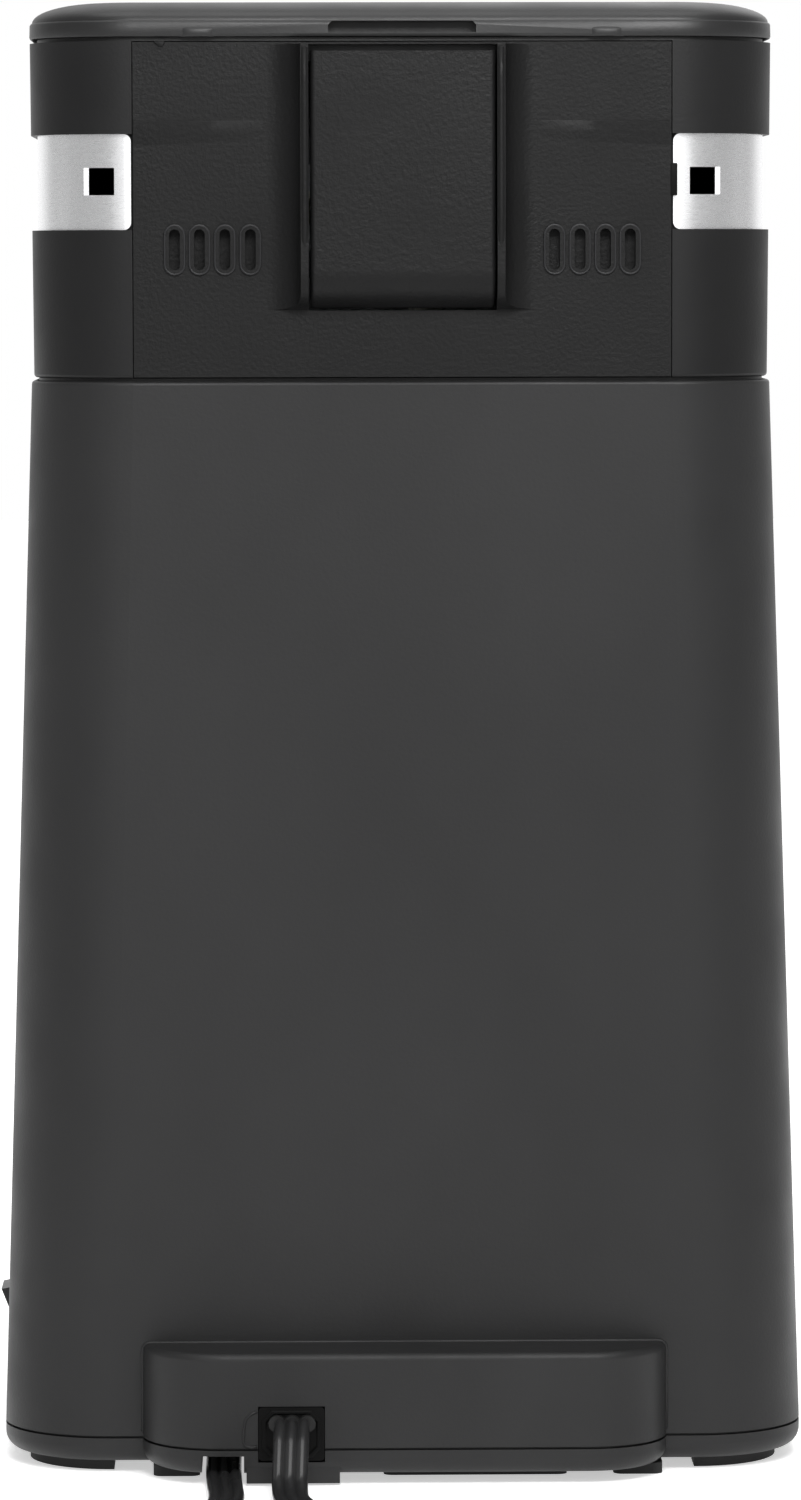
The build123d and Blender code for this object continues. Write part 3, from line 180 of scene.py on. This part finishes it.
def coil_turns():
    """Control points of the coil's turns, rising by a cord's thickness each turn."""
    points = []
    reach = COIL_RADIUS / math.cos(math.radians(COIL_STEP / 2))
    for i in range(1, int(COIL_TURNS * 360 / COIL_STEP)):
        turned = i * COIL_STEP
        angle = -math.radians(turned)
        radius = reach + 0.45 * math.sin(1.7 * math.radians(turned))
        height = CORD_FLOOR + 0.2 + COIL_PITCH * turned / 360
        points.append((
            COIL_CENTRE[0] + radius * math.cos(angle), COIL_CENTRE[1] + radius * math.sin(angle), height,
        ))
    return points


def rib_section(steps=5):
    """The section of the flat lead: three round ribs that meet in two grooves."""
    groove = math.acos(RIB_SPACING / 2 / RIB_RADIUS)
    top = []
    arcs = ((-1, math.pi, groove), (0, math.pi - groove, groove), (1, math.pi - groove, 0.0))
    for rib, start, end in arcs:
        for k in range(steps):
            angle = start + (end - start) * k / steps
            top.append((rib * RIB_SPACING + RIB_RADIUS * math.cos(angle), RIB_RADIUS * math.sin(angle)))
    tip = (RIB_SPACING + RIB_RADIUS, 0.0)
    return top + [tip] + [(across, -up) for across, up in reversed(top[1:])]


def make_cord():
    """The flat lead from the gland, under the base and through its coil to the plug."""
    route = [tuple(c * MM for c in p) for p in CORD_OUT + coil_turns() + CORD_TAIL]
    line = nurbs_line("cord_line", route)
    lead = flat_tube("power_cord", line, rib_section())
    sharpen(lead, 60)
    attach(lead, "housing")
    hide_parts("cord", "cord_coil", "cord_tail")
    return lead, line


power_cord, cord_line = make_cord()


# ---------------------------------------------------------------- materials
class Nodes:
    """A material's node tree with short calls for adding and linking nodes."""

    def __init__(self, name):
        self.material = bpy.data.materials.new(name)
        self.material.use_nodes = True
        self.tree = self.material.node_tree
        self.shader = self.tree.nodes["Principled BSDF"]
        self.place = self.tree.nodes.new("ShaderNodeTexCoord").outputs["Object"]

    def add(self, kind, **settings):
        node = self.tree.nodes.new(kind)
        for key, value in settings.items():
            setattr(node, key, value)
        return node

    def link(self, source, target):
        self.tree.links.new(source, target)

    def scaled(self, scale):
        """The object coordinates stretched by three factors."""
        mapping = self.add("ShaderNodeMapping")
        mapping.inputs["Scale"].default_value = scale
        self.link(self.place, mapping.inputs["Vector"])
        return mapping.outputs["Vector"]

    def noise(self, scale, detail=3.0, stretch=(1, 1, 1), roughness=0.55):
        node = self.add("ShaderNodeTexNoise")
        node.inputs["Scale"].default_value = scale
        node.inputs["Detail"].default_value = detail
        node.inputs["Roughness"].default_value = roughness
        self.link(self.scaled(stretch), node.inputs["Vector"])
        return node.outputs["Fac"]

    def ramp(self, factor, low, high, start=0.35, end=0.65):
        """Two colours mixed by a factor between a start and an end."""
        node = self.add("ShaderNodeValToRGB")
        node.color_ramp.elements[0].position = start
        node.color_ramp.elements[1].position = end
        node.color_ramp.elements[0].color = (*low, 1)
        node.color_ramp.elements[1].color = (*high, 1)
        self.link(factor, node.inputs["Fac"])
        return node.outputs["Color"]

    def spread(self, factor, low, high, start=0.3, end=0.7):
        """A factor mapped from one range onto another."""
        node = self.add("ShaderNodeMapRange")
        node.inputs["From Min"].default_value = start
        node.inputs["From Max"].default_value = end
        node.inputs["To Min"].default_value = low
        node.inputs["To Max"].default_value = high
        self.link(factor, node.inputs["Value"])
        return node.outputs["Result"]

    def bump(self, height, strength, distance, before=None):
        node = self.add("ShaderNodeBump")
        node.inputs["Strength"].default_value = strength
        node.inputs["Distance"].default_value = distance
        self.link(height, node.inputs["Height"])
        if before is not None:
            self.link(before, node.inputs["Normal"])
        return node.outputs["Normal"]

    def finish(self, colour, roughness, normal, **settings):
        """Link the colour, roughness and bump, and set the shader's own sockets."""
        self.link(colour, self.shader.inputs["Base Color"])
        self.link(roughness, self.shader.inputs["Roughness"])
        self.link(normal, self.shader.inputs["Normal"])
        for key, value in settings.items():
            self.shader.inputs[key.replace("_", " ")].default_value = value
        return self.material


def shade(colour, factor):
    """A colour made lighter or darker by a factor."""
    return tuple(min(1.0, c * factor) for c in colour)


def plastic(name, colour, grain, depth, rough=(0.42, 0.56), vary=0.12, gloss=0.24):
    """Moulded plastic: fine grain, faint flow clouding and uneven gloss."""
    n = Nodes(name)
    cloud = n.noise(22.0, 3.0, (1, 1, 0.6))
    fine = n.noise(grain, 4.0)
    colours = n.ramp(cloud, shade(colour, 1 - vary), shade(colour, 1 + vary))
    roughness = n.spread(n.noise(60.0, 3.0), *rough)
    waviness = n.bump(n.noise(35.0, 2.0), 0.10, 0.0006)
    normal = n.bump(fine, depth, 0.00012, waviness)
    return n.finish(colours, roughness, normal, Specular_IOR_Level=gloss)


def metal(name, colour, rough, stretch, scale=700.0, depth=0.15, vary=0.08):
    """Metal with fine marks along one direction."""
    n = Nodes(name)
    marks = n.noise(scale, 5.0, stretch)
    cloud = n.noise(30.0, 2.0)
    colours = n.ramp(cloud, shade(colour, 1 - vary), shade(colour, 1 + vary))
    roughness = n.spread(marks, *rough)
    normal = n.bump(marks, depth, 0.00005)
    return n.finish(colours, roughness, normal, Metallic=1.0)


BODY_GREY = (0.0155, 0.0155, 0.0158)
HEAD_GREY = (0.008, 0.008, 0.0082)
COVER_GREY = (0.0055, 0.0055, 0.0056)
LID_GREY = (0.012, 0.012, 0.0122)

MATERIALS = {
    "black_abs": plastic("body_plastic", BODY_GREY, 1800.0, 0.25),
    "grained_abs": plastic("cover_plastic", COVER_GREY, 1500.0, 0.9, (0.42, 0.58), gloss=0.16),
    "lid_abs": plastic("lid_plastic", LID_GREY, 1900.0, 0.2, (0.38, 0.48), gloss=0.36),
    "brushed_band": metal(
        "brushed_band", (0.86, 0.86, 0.87), (0.24, 0.32), (1, 1, 14), depth=0.04, vary=0.02,
    ),
    "switch_plastic": plastic("switch_plastic", (0.018, 0.018, 0.019), 2200.0, 0.15, (0.3, 0.4)),
    "gland_plastic": plastic("gland_plastic", (0.003, 0.003, 0.003), 1800.0, 0.2, (0.5, 0.6), gloss=0.08),
    "foot_rubber": plastic("foot_rubber", (0.02, 0.02, 0.02), 1200.0, 0.5, (0.7, 0.85)),
    "cord_pvc": plastic("cord_pvc", (0.016, 0.016, 0.0165), 900.0, 0.12, (0.2, 0.3), gloss=0.5),
    "steel": metal("zinc_steel", (0.55, 0.56, 0.58), (0.28, 0.42), (1, 1, 1)),
    "cutter_steel": metal("cutter_steel", (0.72, 0.73, 0.75), (0.14, 0.24), (1, 1, 1)),
    "laminations": metal("laminations", (0.24, 0.24, 0.25), (0.4, 0.6), (0.2, 20, 0.2), 120.0, 0.5),
    "coil_tape": plastic("coil_tape", (0.60, 0.42, 0.07), 600.0, 0.3, (0.3, 0.45)),
    "bronze": metal("bronze", (0.56, 0.38, 0.2), (0.35, 0.5), (1, 1, 1), 1500.0, 0.3),
    "nylon_gear": plastic("nylon", (0.72, 0.70, 0.62), 1400.0, 0.15, (0.35, 0.45), 0.04),
    "magnet_metal": metal("magnet", (0.2, 0.2, 0.21), (0.4, 0.55), (1, 1, 1)),
    "tie_pvc": plastic("tie_pvc", (0.015, 0.015, 0.015), 900.0, 0.1, (0.3, 0.4)),
    "blade_brass": metal("blade_metal", (0.72, 0.68, 0.6), (0.2, 0.32), (1, 1, 1)),
    "wire_pvc": plastic("wire_pvc", (0.4, 0.4, 0.4), 900.0, 0.1, (0.35, 0.45)),
}
HEAD_PLASTIC = plastic("head_plastic", HEAD_GREY, 1800.0, 0.25, gloss=0.2)


def give(piece, material):
    """Replace all of a piece's materials by one."""
    piece.data.materials.clear()
    piece.data.materials.append(material)


def dress_cad_nodes():
    """Give each CAD node the material of its slot."""
    for part in frame["record"]["subparts"]:
        give(nodes[part["node"]], MATERIALS[part["material_slot"]])
    give(nodes["head_shell"], HEAD_PLASTIC)
    give(power_cord, MATERIALS["cord_pvc"])


dress_cad_nodes()


# ---------------------------------------------------------------- shapes
def rounded_ring(half_x, front, rear, corner, height, inset=0.0, steps=12):
    """The points of a rounded rectangle, moved inwards by an inset, at one height."""
    radius = max(corner - inset, 2 * MM)
    x, low, high = half_x - inset - radius, front + inset + radius, rear - inset - radius
    ring = []
    for centre, start in (((x, high), 0), ((-x, high), 90), ((-x, low), 180), ((x, low), 270)):
        for step in range(steps + 1):
            angle = math.radians(start + 90 * step / steps)
            reach = Vector((math.cos(angle), math.sin(angle))) * radius
            ring.append(Vector((centre[0] + reach.x, centre[1] + reach.y, height)))
    return ring


def skin(name, rings):
    """A closed object through rings of equal length, with flat caps."""
    count = len(rings[0])
    points = [point for ring in rings for point in ring]
    faces = [tuple(range(count)), tuple(range(len(points) - count, len(points)))]
    for i in range(len(rings) - 1):
        for k in range(count):
            n = (k + 1) % count
            faces.append((i * count + k, i * count + n, (i + 1) * count + n, (i + 1) * count + k))
    return mesh_from(name, points, faces)


def box_between(name, low, high):
    """A box between two corners."""
    spans = list(zip(low, high))
    points = [Vector((x, y, z)) for x in spans[0] for y in spans[1] for z in spans[2]]
    faces = [(0, 1, 3, 2), (4, 6, 7, 5), (0, 4, 5, 1), (2, 3, 7, 6), (0, 2, 6, 4), (1, 5, 7, 3)]
    return mesh_from(name, points, faces)


def apply_modifiers(piece):
    """Turn a piece's modifiers into mesh."""
    graph = bpy.context.evaluated_depsgraph_get()
    mesh = bpy.data.meshes.new_from_object(piece.evaluated_get(graph))
    old = piece.data
    piece.modifiers.clear()
    piece.data = mesh
    bpy.data.meshes.remove(old)


def cut(piece, cutter):
    """Cut one closed object out of another and delete it."""
    boolean = piece.modifiers.new("cut", "BOOLEAN")
    boolean.operation = "DIFFERENCE"
    boolean.solver = "EXACT"
    boolean.object = cutter
    apply_modifiers(piece)
    bpy.data.objects.remove(cutter)


def bevel(piece, width, segments=2, limit=30):
    """Round every edge sharper than a limit."""
    rounding = piece.modifiers.new("bevel", "BEVEL")
    rounding.width = width
    rounding.segments = segments
    rounding.limit_method = "ANGLE"
    rounding.angle_limit = math.radians(limit)
    apply_modifiers(piece)


def settle(piece, slot, body="housing"):
    """Put a piece on a body with a finish from the record's slots."""
    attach(piece, body)
    give(piece, MATERIALS[slot])
    return piece


# ---------------------------------------------------------------- lid
LID_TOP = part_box("lid")[1].z
LID_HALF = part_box("lid")[1].x
LID_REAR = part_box("lid")[1].y
LID_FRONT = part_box("lid")[0].y
LID_CORNER = 17.1 * MM
FLANGE_LOW = LID_TOP - 6.2 * MM
FLANGE_HIGH = LID_TOP - 3.5 * MM
SEAM_INSET = 1.3 * MM
SLOT_HALF = 11.9 * MM
SNAP_X = 32.9 * MM


def lid_rings():
    """The lid's section from its neck, up the flange and over an elliptical edge to a crowned top."""
    sections = [
        (3.6, LID_TOP - 10.0 * MM), (3.6, LID_TOP - 6.9 * MM), (SEAM_INSET / MM, LID_TOP - 6.8 * MM),
        (SEAM_INSET / MM, FLANGE_LOW), (0.45, FLANGE_LOW), (0.12, FLANGE_LOW + 0.12 * MM),
        (0.0, FLANGE_LOW + 0.45 * MM), (0.05, FLANGE_HIGH - 0.35 * MM), (0.2, FLANGE_HIGH - 0.12 * MM),
        (0.42, FLANGE_HIGH),
    ]
    rise = LID_TOP - 0.25 * MM - FLANGE_HIGH
    for step in range(1, 13):
        angle = math.radians(90 * step / 12)
        sections.append((0.42 + 11.5 * (1 - math.cos(angle)), FLANGE_HIGH + rise * math.sin(angle)))
    for inset in (16, 22, 30, 38):
        share = (inset - 11.9) / (38 - 11.9)
        sections.append((inset, LID_TOP - 0.25 * MM * (1 - share) ** 2))
    return [
        rounded_ring(LID_HALF, LID_FRONT, LID_REAR, LID_CORNER, height, inset * MM)
        for inset, height in sections
    ]


def make_lid():
    """The snap-on lid with the finger slot in its rear edge."""
    lid = skin("lid_cap", lid_rings())
    slot_low, slot_high = LID_TOP - 5.5 * MM, LID_TOP - 3.65 * MM
    chamfer = 0.6 * MM
    outline = [
        (-SLOT_HALF, slot_low), (SLOT_HALF, slot_low),
        (SLOT_HALF, slot_high - chamfer), (SLOT_HALF - chamfer, slot_high),
        (-SLOT_HALF + chamfer, slot_high), (-SLOT_HALF, slot_high - chamfer),
    ]
    near, far = LID_REAR - 3.4 * MM, LID_REAR + 2 * MM
    cut(lid, skin("slot_cutter", [[Vector((x, y, z)) for x, z in outline] for y in (near, far)]))
    sharpen(lid, 32)
    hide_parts("lid")
    settle(lid, "lid_abs")


def make_snaps():
    """The two shallow lens-shaped lugs that spring the lid's lower edge out over its catches."""
    columns, rows = 24, 8
    half, low, high, swell = 2.9 * MM, FLANGE_LOW + 0.02 * MM, FLANGE_HIGH - 0.9 * MM, 0.42 * MM
    for name, side in (("snap_lug_left", 1), ("snap_lug_right", -1)):
        points, faces = [], []
        for i in range(columns + 1):
            u = -1 + 2 * i / columns
            for k in range(rows + 1):
                v = k / rows
                lift = swell * (1 - u * u) * math.sin(math.pi * (0.12 + 0.88 * v)) ** 0.6
                y = LID_REAR - 0.25 * MM + (lift + 0.2 * MM) * (1 - u**6) * min(1, 4 * (1 - v))
                points.append(Vector((side * SNAP_X + u * half, y, low + (high - low) * v)))
        for i in range(columns):
            for k in range(rows):
                a = i * (rows + 1) + k
                faces.append((a, a + 1, a + rows + 2, a + rows + 1))
        lug = mesh_from(name, points, faces)
        thickness = lug.modifiers.new("thickness", "SOLIDIFY")
        thickness.thickness = 0.5 * MM
        thickness.offset = -1 if lug.data.polygons[0].normal.y > 0 else 1
        apply_modifiers(lug)
        settle(lug, "lid_abs")


make_lid()
make_snaps()


# ---------------------------------------------------------------- rear details
LEDGE_HALF = 42.7 * MM
LEDGE_TOP = 21.5 * MM
LEDGE_REAR = 66.0 * MM
STEP_Z = 219.7 * MM
COVER_EDGE = 43.2 * MM
GLAND_LOW, GLAND_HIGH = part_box("cord_gland")
VENT_X = (24.5, 28.6, 32.7, 36.7)
VENT_Z = 199.1 * MM
VENT_RIM_LENGTH = 7.9 * MM
VENT_RIM_WIDTH = 3.2 * MM
CHEEK_X = 15.75 * MM
CHEEK_Y = 59.75 * MM
CHEEK_TOP = 231.4 * MM
CHEEK_DROP = 39.6 * MM
CHEEK_SINK = 1.6 * MM
CHEEK_RADIUS = 0.62 * MM
LEDGE_BEAD = 0.32 * MM
VENT_BEAD = 0.17 * MM
STEP_INNER = 22.5 * MM
STEP_DROP = 5.5 * MM
STEP_LEAST, STEP_RISE = 0.02 * MM, 0.32 * MM
SUNK = 0.2 * MM
# Where the painted shade of the notch beside the band's end sits: a near-black block, not a real part.
NOTCH_SHADE_X = (-44.3 * MM, -43.2 * MM)
NOTCH_SHADE_Z = (207.7 * MM, 212.9 * MM)
HOOK_X = (38.0 * MM, 40.0 * MM)
HOOK_Z = (231.7 * MM, 232.5 * MM)
GLAND_MARGIN = 0.5 * MM
GLAND_CORNER = 1.5 * MM
MOUTH_SIZE = 1.32
POCKET = [
    (24.1, 12.2), (25.1, 11.7), (25.9, 10.9), (26.2, 9.4), (26.3, 7.4), (26.0, 6.6), (24.9, 6.3), (24.1, 6.6),
]


def round_section(radius, sides=8):
    """A round section for a thin bead."""
    turns = [2 * math.pi * k / sides for k in range(sides)]
    return [(radius * math.cos(t), radius * math.sin(t)) for t in turns]


def bead(name, points, radius, slot):
    """A thin round bead through points on the rear."""
    line = [Vector(point) for point in points]
    return settle(flat_tube(name, line, round_section(radius), Vector((0, 1, 0))), slot)


def make_ledge_bead():
    """The parting bead where the ledge meets the rear wall."""
    radius = 1.2 * MM
    points = [(LEDGE_HALF, REAR_Y, 7.0 * MM)]
    for side, start in ((1, 0), (-1, 90)):
        for step in range(7):
            angle = math.radians(start + 15 * step)
            x = side * (LEDGE_HALF - radius) + radius * math.cos(angle)
            points.append((x, REAR_Y, LEDGE_TOP - radius + radius * math.sin(angle)))
    points.append((-LEDGE_HALF, REAR_Y, 7.0 * MM))
    bead("ledge_bead", points, LEDGE_BEAD, "black_abs")


def make_cover_steps():
    """The faint step across the rear cover, deepest at its outer ends and fading towards the bulge."""
    columns, edge = 12, 0.1 * MM
    for name, side in (("cover_step_left", 1), ("cover_step_right", -1)):
        points, faces = [], []
        for i in range(columns + 1):
            x = STEP_INNER + (COVER_EDGE - STEP_INNER) * i / columns
            proud = STEP_LEAST + STEP_RISE * (i / columns) ** 0.7
            profile = [
                (-SUNK, edge), (0.4 * proud, edge), (proud, -edge), (0.7 * proud, -0.35 * STEP_DROP),
                (-SUNK, -STEP_DROP),
            ]
            points += [Vector((side * x, REAR_Y + out, STEP_Z + up)) for out, up in profile]
        for i in range(columns):
            for k in range(5):
                n = (k + 1) % 5
                faces.append((i * 5 + k, i * 5 + n, (i + 1) * 5 + n, (i + 1) * 5 + k))
        faces += [(0, 1, 2, 3, 4), tuple(columns * 5 + k for k in (4, 3, 2, 1, 0))]
        step = mesh_from(name, points, faces)
        sharpen(step, 30)
        settle(step, "grained_abs")


def make_vent_rims():
    """A fine raised rim round each of the eight vent slots."""
    half, straight = VENT_RIM_WIDTH / 2, (VENT_RIM_LENGTH - VENT_RIM_WIDTH) / 2
    for side, label in ((1, "left"), (-1, "right")):
        for i, x in enumerate(VENT_X):
            outline = []
            for turn, lift in ((0, straight), (180, -straight)):
                for step in range(9):
                    angle = math.radians(turn + 180 * step / 8)
                    outline.append((
                        side * x * MM + half * math.cos(angle), REAR_Y + 0.3 * MM,
                        VENT_Z + lift + half * math.sin(angle),
                    ))
            bead(f"vent_rim_{label}_{i + 1}", outline + outline[:2], VENT_BEAD, "switch_plastic")


def make_cheek_ribs():
    """The rounded ribs that run down the bulge on both sides of its panel."""
    for name, side in (("cheek_rib_left", 1), ("cheek_rib_right", -1)):
        line = []
        for step in range(9):
            share = step / 8
            sunk = CHEEK_SINK * max(0, share - 0.75) * 4
            line.append((side * CHEEK_X, CHEEK_Y - sunk, CHEEK_TOP - share * CHEEK_DROP))
        bead(name, line, CHEEK_RADIUS, "grained_abs")


def make_notch_shade_and_lid_hook():
    """A near-black block beside the band's end, painted shade standing in for the dark notch there, and the
    small hook under the lid.
    """
    notch_shade_y, hook_y = (REAR_Y - 0.9 * MM, REAR_Y + 0.12 * MM), (REAR_Y - 0.3 * MM, REAR_Y + 0.35 * MM)
    # Painted shade: a near-black block darkens the notch beside the band's end the way its shade would.
    notch_shade_block = box_between("band_notch_shade", *zip(NOTCH_SHADE_X, notch_shade_y, NOTCH_SHADE_Z))
    bevel(notch_shade_block, 0.12 * MM)
    settle(notch_shade_block, "gland_plastic")
    hook = box_between("lid_hook", *zip(HOOK_X, hook_y, HOOK_Z))
    for vertex in hook.data.vertices:
        if vertex.co.z < sum(HOOK_Z) / 2:
            vertex.co.x = HOOK_X[0] + 0.4 * MM + 0.35 * (vertex.co.x - HOOK_X[0])
    bevel(hook, 0.14 * MM)
    settle(hook, "grained_abs")


def make_gland_details():
    """The gland's raised frame, its moulded pocket and the three-lobed mouth that the lead comes out of."""
    x, z = (GLAND_LOW.x + GLAND_HIGH.x) / 2, (GLAND_LOW.z + GLAND_HIGH.z) / 2
    half_x = (GLAND_HIGH.x - GLAND_LOW.x) / 2 - GLAND_MARGIN
    half_z = (GLAND_HIGH.z - GLAND_LOW.z) / 2 - GLAND_MARGIN
    corner, y = GLAND_CORNER, GLAND_HIGH.y
    outline = [
        (half_x, half_z - corner), (half_x - corner, half_z), (-half_x + corner, half_z),
        (-half_x, half_z - corner), (-half_x, -half_z + corner), (-half_x + corner, -half_z),
        (half_x - corner, -half_z), (half_x, -half_z + corner),
    ]
    sides = [(1.0, -0.3), (1.0, 0.12), (0.95, 0.3), (0.88, 0.3), (0.82, 0.05), (0.82, -0.3)]
    points = [
        Vector((x + a * share, y + out * MM, z + b * share)) for a, b in outline for share, out in sides
    ]
    faces = []
    for i in range(8):
        for k in range(6):
            n, m = (k + 1) % 6, (i + 1) % 8
            faces.append((i * 6 + k, i * 6 + n, m * 6 + n, m * 6 + k))
    frame_piece = mesh_from("gland_frame", points, faces)
    sharpen(frame_piece, 25)
    settle(frame_piece, "gland_plastic")
    bead("gland_pocket", [(a * MM, LEDGE_REAR, b * MM) for a, b in POCKET], 0.24 * MM, "black_abs")
    lead = [Vector(p) * MM for p in CORD_OUT[:3]]
    along = (lead[1] - lead[0]).normalized()
    mouth = [lead[0] + along * share * MM for share in (-0.6, 0.0, 0.5, 0.8)]
    collar = [(MOUTH_SIZE * a, MOUTH_SIZE * b) for a, b in rib_section()]
    sleeve = flat_tube("gland_mouth", mouth, collar)
    sharpen(sleeve, 50)
    settle(sleeve, "tie_pvc")


make_ledge_bead()
make_cover_steps()
make_vent_rims()
make_cheek_ribs()
make_notch_shade_and_lid_hook()
make_gland_details()


# ---------------------------------------------------------------- front and plug details
HANDLE_FRONT = -66.0 * MM
HANDLE_RIBS_X = (31.0, 35.5, 40.0, 44.5, 49.0)
HANDLE_RIB_Z = (212.2, 219.4)
HANDLE_RIB_WIDTH = 1.3
RING_SHARE = 0.72
RING_RADIUS = 0.22 * MM
NECK_LENGTH = 10.0 * MM
NECK_RINGS = 3


def make_handle_ribs():
    """Finger ribs across the front of the lever's handle."""
    for i, x in enumerate(HANDLE_RIBS_X):
        low = (x * MM, HANDLE_FRONT - 0.45 * MM, HANDLE_RIB_Z[0] * MM)
        high = ((x + HANDLE_RIB_WIDTH) * MM, HANDLE_FRONT + 0.3 * MM, HANDLE_RIB_Z[1] * MM)
        rib = box_between(f"handle_rib_{i + 1}", low, high)
        bevel(rib, 0.35 * MM, 3)
        settle(rib, "black_abs", "lever")


def make_head_ring(node, body):
    """A turned ring on the flat front of a round head."""
    low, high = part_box(node)
    x, z, radius = (low.x + high.x) / 2, (low.z + high.z) / 2, (high.x - low.x) / 2 * RING_SHARE
    turns = [2 * math.pi * k / 40 for k in range(42)]
    line = [Vector((x + radius * math.cos(t), low.y, z + radius * math.sin(t))) for t in turns]
    ring = flat_tube(f"{node}_ring", line, round_section(RING_RADIUS, 6), Vector((0, 1, 0)))
    settle(ring, "steel", body)


def make_plug_neck():
    """The ringed neck that joins the lead to its plug."""
    line, reach = [cord_line[-1]], 0.0
    for place in reversed(cord_line[:-1]):
        reach += (place - line[0]).length
        if reach > NECK_LENGTH:
            break
        line.insert(0, place)
    swell = []
    for i in range(len(line)):
        share = i / (len(line) - 1)
        swell.append(1.12 + 0.75 * share + 0.07 * math.cos(2 * math.pi * NECK_RINGS * share))
    neck = flat_tube("plug_neck", line, rib_section(), swell=swell)
    sharpen(neck, 60)
    settle(neck, "cord_pvc")


make_handle_ribs()
make_head_ring("cutter_stud", "lever")
make_plug_neck()


# ---------------------------------------------------------------- floor and light
SURROUND_LIGHT = 0.4
SURROUND_PATCHES = [
    ((-0.05, 1.0, 0.2), 0.88, 0.995, 1.2),
    ((0.0, -1.0, 0.1), 0.35, 0.9, 0.7),
]
FLOOR_GLOW = 0.5
GLOW_FADE_Y = (0.12, 0.3)
KEY_POWER = 1.7
TOP_POWER = 10.0
FRONT_POWER = 1.8


def area_light(name, place, target, size, power):
    """A rectangular soft light pointed at a target."""
    data = bpy.data.lights.new(name, "AREA")
    data.shape = "RECTANGLE"
    data.size, data.size_y = size
    data.energy = power
    light = bpy.data.objects.new(name, data)
    light.location = place
    light.rotation_euler = (Vector(target) - Vector(place)).to_track_quat("-Z", "Y").to_euler()
    bpy.context.scene.collection.objects.link(light)


def make_studio():
    """A pale floor, a white surround and large soft lights."""
    floor = mesh_from("floor", [(-4, -4, 0), (4, -4, 0), (4, 4, 0), (-4, 4, 0)], [(0, 1, 2, 3)])
    n = Nodes("floor_paint")
    colours = n.ramp(n.noise(3.0), (0.93, 0.93, 0.93), (0.95, 0.95, 0.95))
    give(floor, n.finish(colours, n.spread(n.noise(5.0), 0.6, 0.7), n.bump(n.noise(400.0), 0.05, 0.0002)))
    across = n.add("ShaderNodeSeparateXYZ")
    n.link(n.place, across.inputs["Vector"])
    glow = n.spread(across.outputs["Y"], FLOOR_GLOW, 0.0, *GLOW_FADE_Y)
    n.link(glow, n.shader.inputs["Emission Strength"])
    n.shader.inputs["Emission Color"].default_value = (1, 1, 1, 1)
    bpy.context.scene.world = make_surround()
    middle = (0, 0, 0.13)
    area_light("key", (-0.05, 0.38, 0.4), (0, REAR_Y, 0.15), (0.26, 0.14), KEY_POWER)
    area_light("top", (0, 0.1, 1.5), middle, (1.1, 1.1), TOP_POWER)
    area_light("front", (-0.5, -1.5, 0.9), middle, (0.9, 0.9), FRONT_POWER)
    bpy.context.scene.view_settings.view_transform = "Standard"


def make_surround():
    """A white surround that lights softly from all round, more from behind the camera and opposite it."""
    world = bpy.data.worlds.new("surround")
    world.use_nodes = True
    tree = world.node_tree
    direction = tree.nodes.new("ShaderNodeTexCoord").outputs["Generated"]
    total = None
    for aim, start, end, power in SURROUND_PATCHES:
        toward = tree.nodes.new("ShaderNodeVectorMath")
        toward.operation = "DOT_PRODUCT"
        toward.inputs[1].default_value = Vector(aim).normalized()
        tree.links.new(direction, toward.inputs[0])
        patch = tree.nodes.new("ShaderNodeMapRange")
        patch.interpolation_type = "SMOOTHSTEP"
        patch.inputs["From Min"].default_value = start
        patch.inputs["From Max"].default_value = end
        patch.inputs["To Min"].default_value = SURROUND_LIGHT if total is None else 0.0
        patch.inputs["To Max"].default_value = power + (SURROUND_LIGHT if total is None else 0.0)
        tree.links.new(toward.outputs["Value"], patch.inputs["Value"])
        if total is None:
            total = patch.outputs["Result"]
            continue
        both = tree.nodes.new("ShaderNodeMath")
        tree.links.new(total, both.inputs[0])
        tree.links.new(patch.outputs["Result"], both.inputs[1])
        total = both.outputs["Value"]
    seen = tree.nodes.new("ShaderNodeMix")
    tree.links.new(tree.nodes.new("ShaderNodeLightPath").outputs["Is Camera Ray"], seen.inputs["Factor"])
    tree.links.new(total, seen.inputs["A"])
    seen.inputs["B"].default_value = 1.0
    background = tree.nodes["Background"]
    background.inputs["Color"].default_value = (1, 1, 1, 1)
    tree.links.new(seen.outputs["Result"], background.inputs["Strength"])
    return world


make_studio()
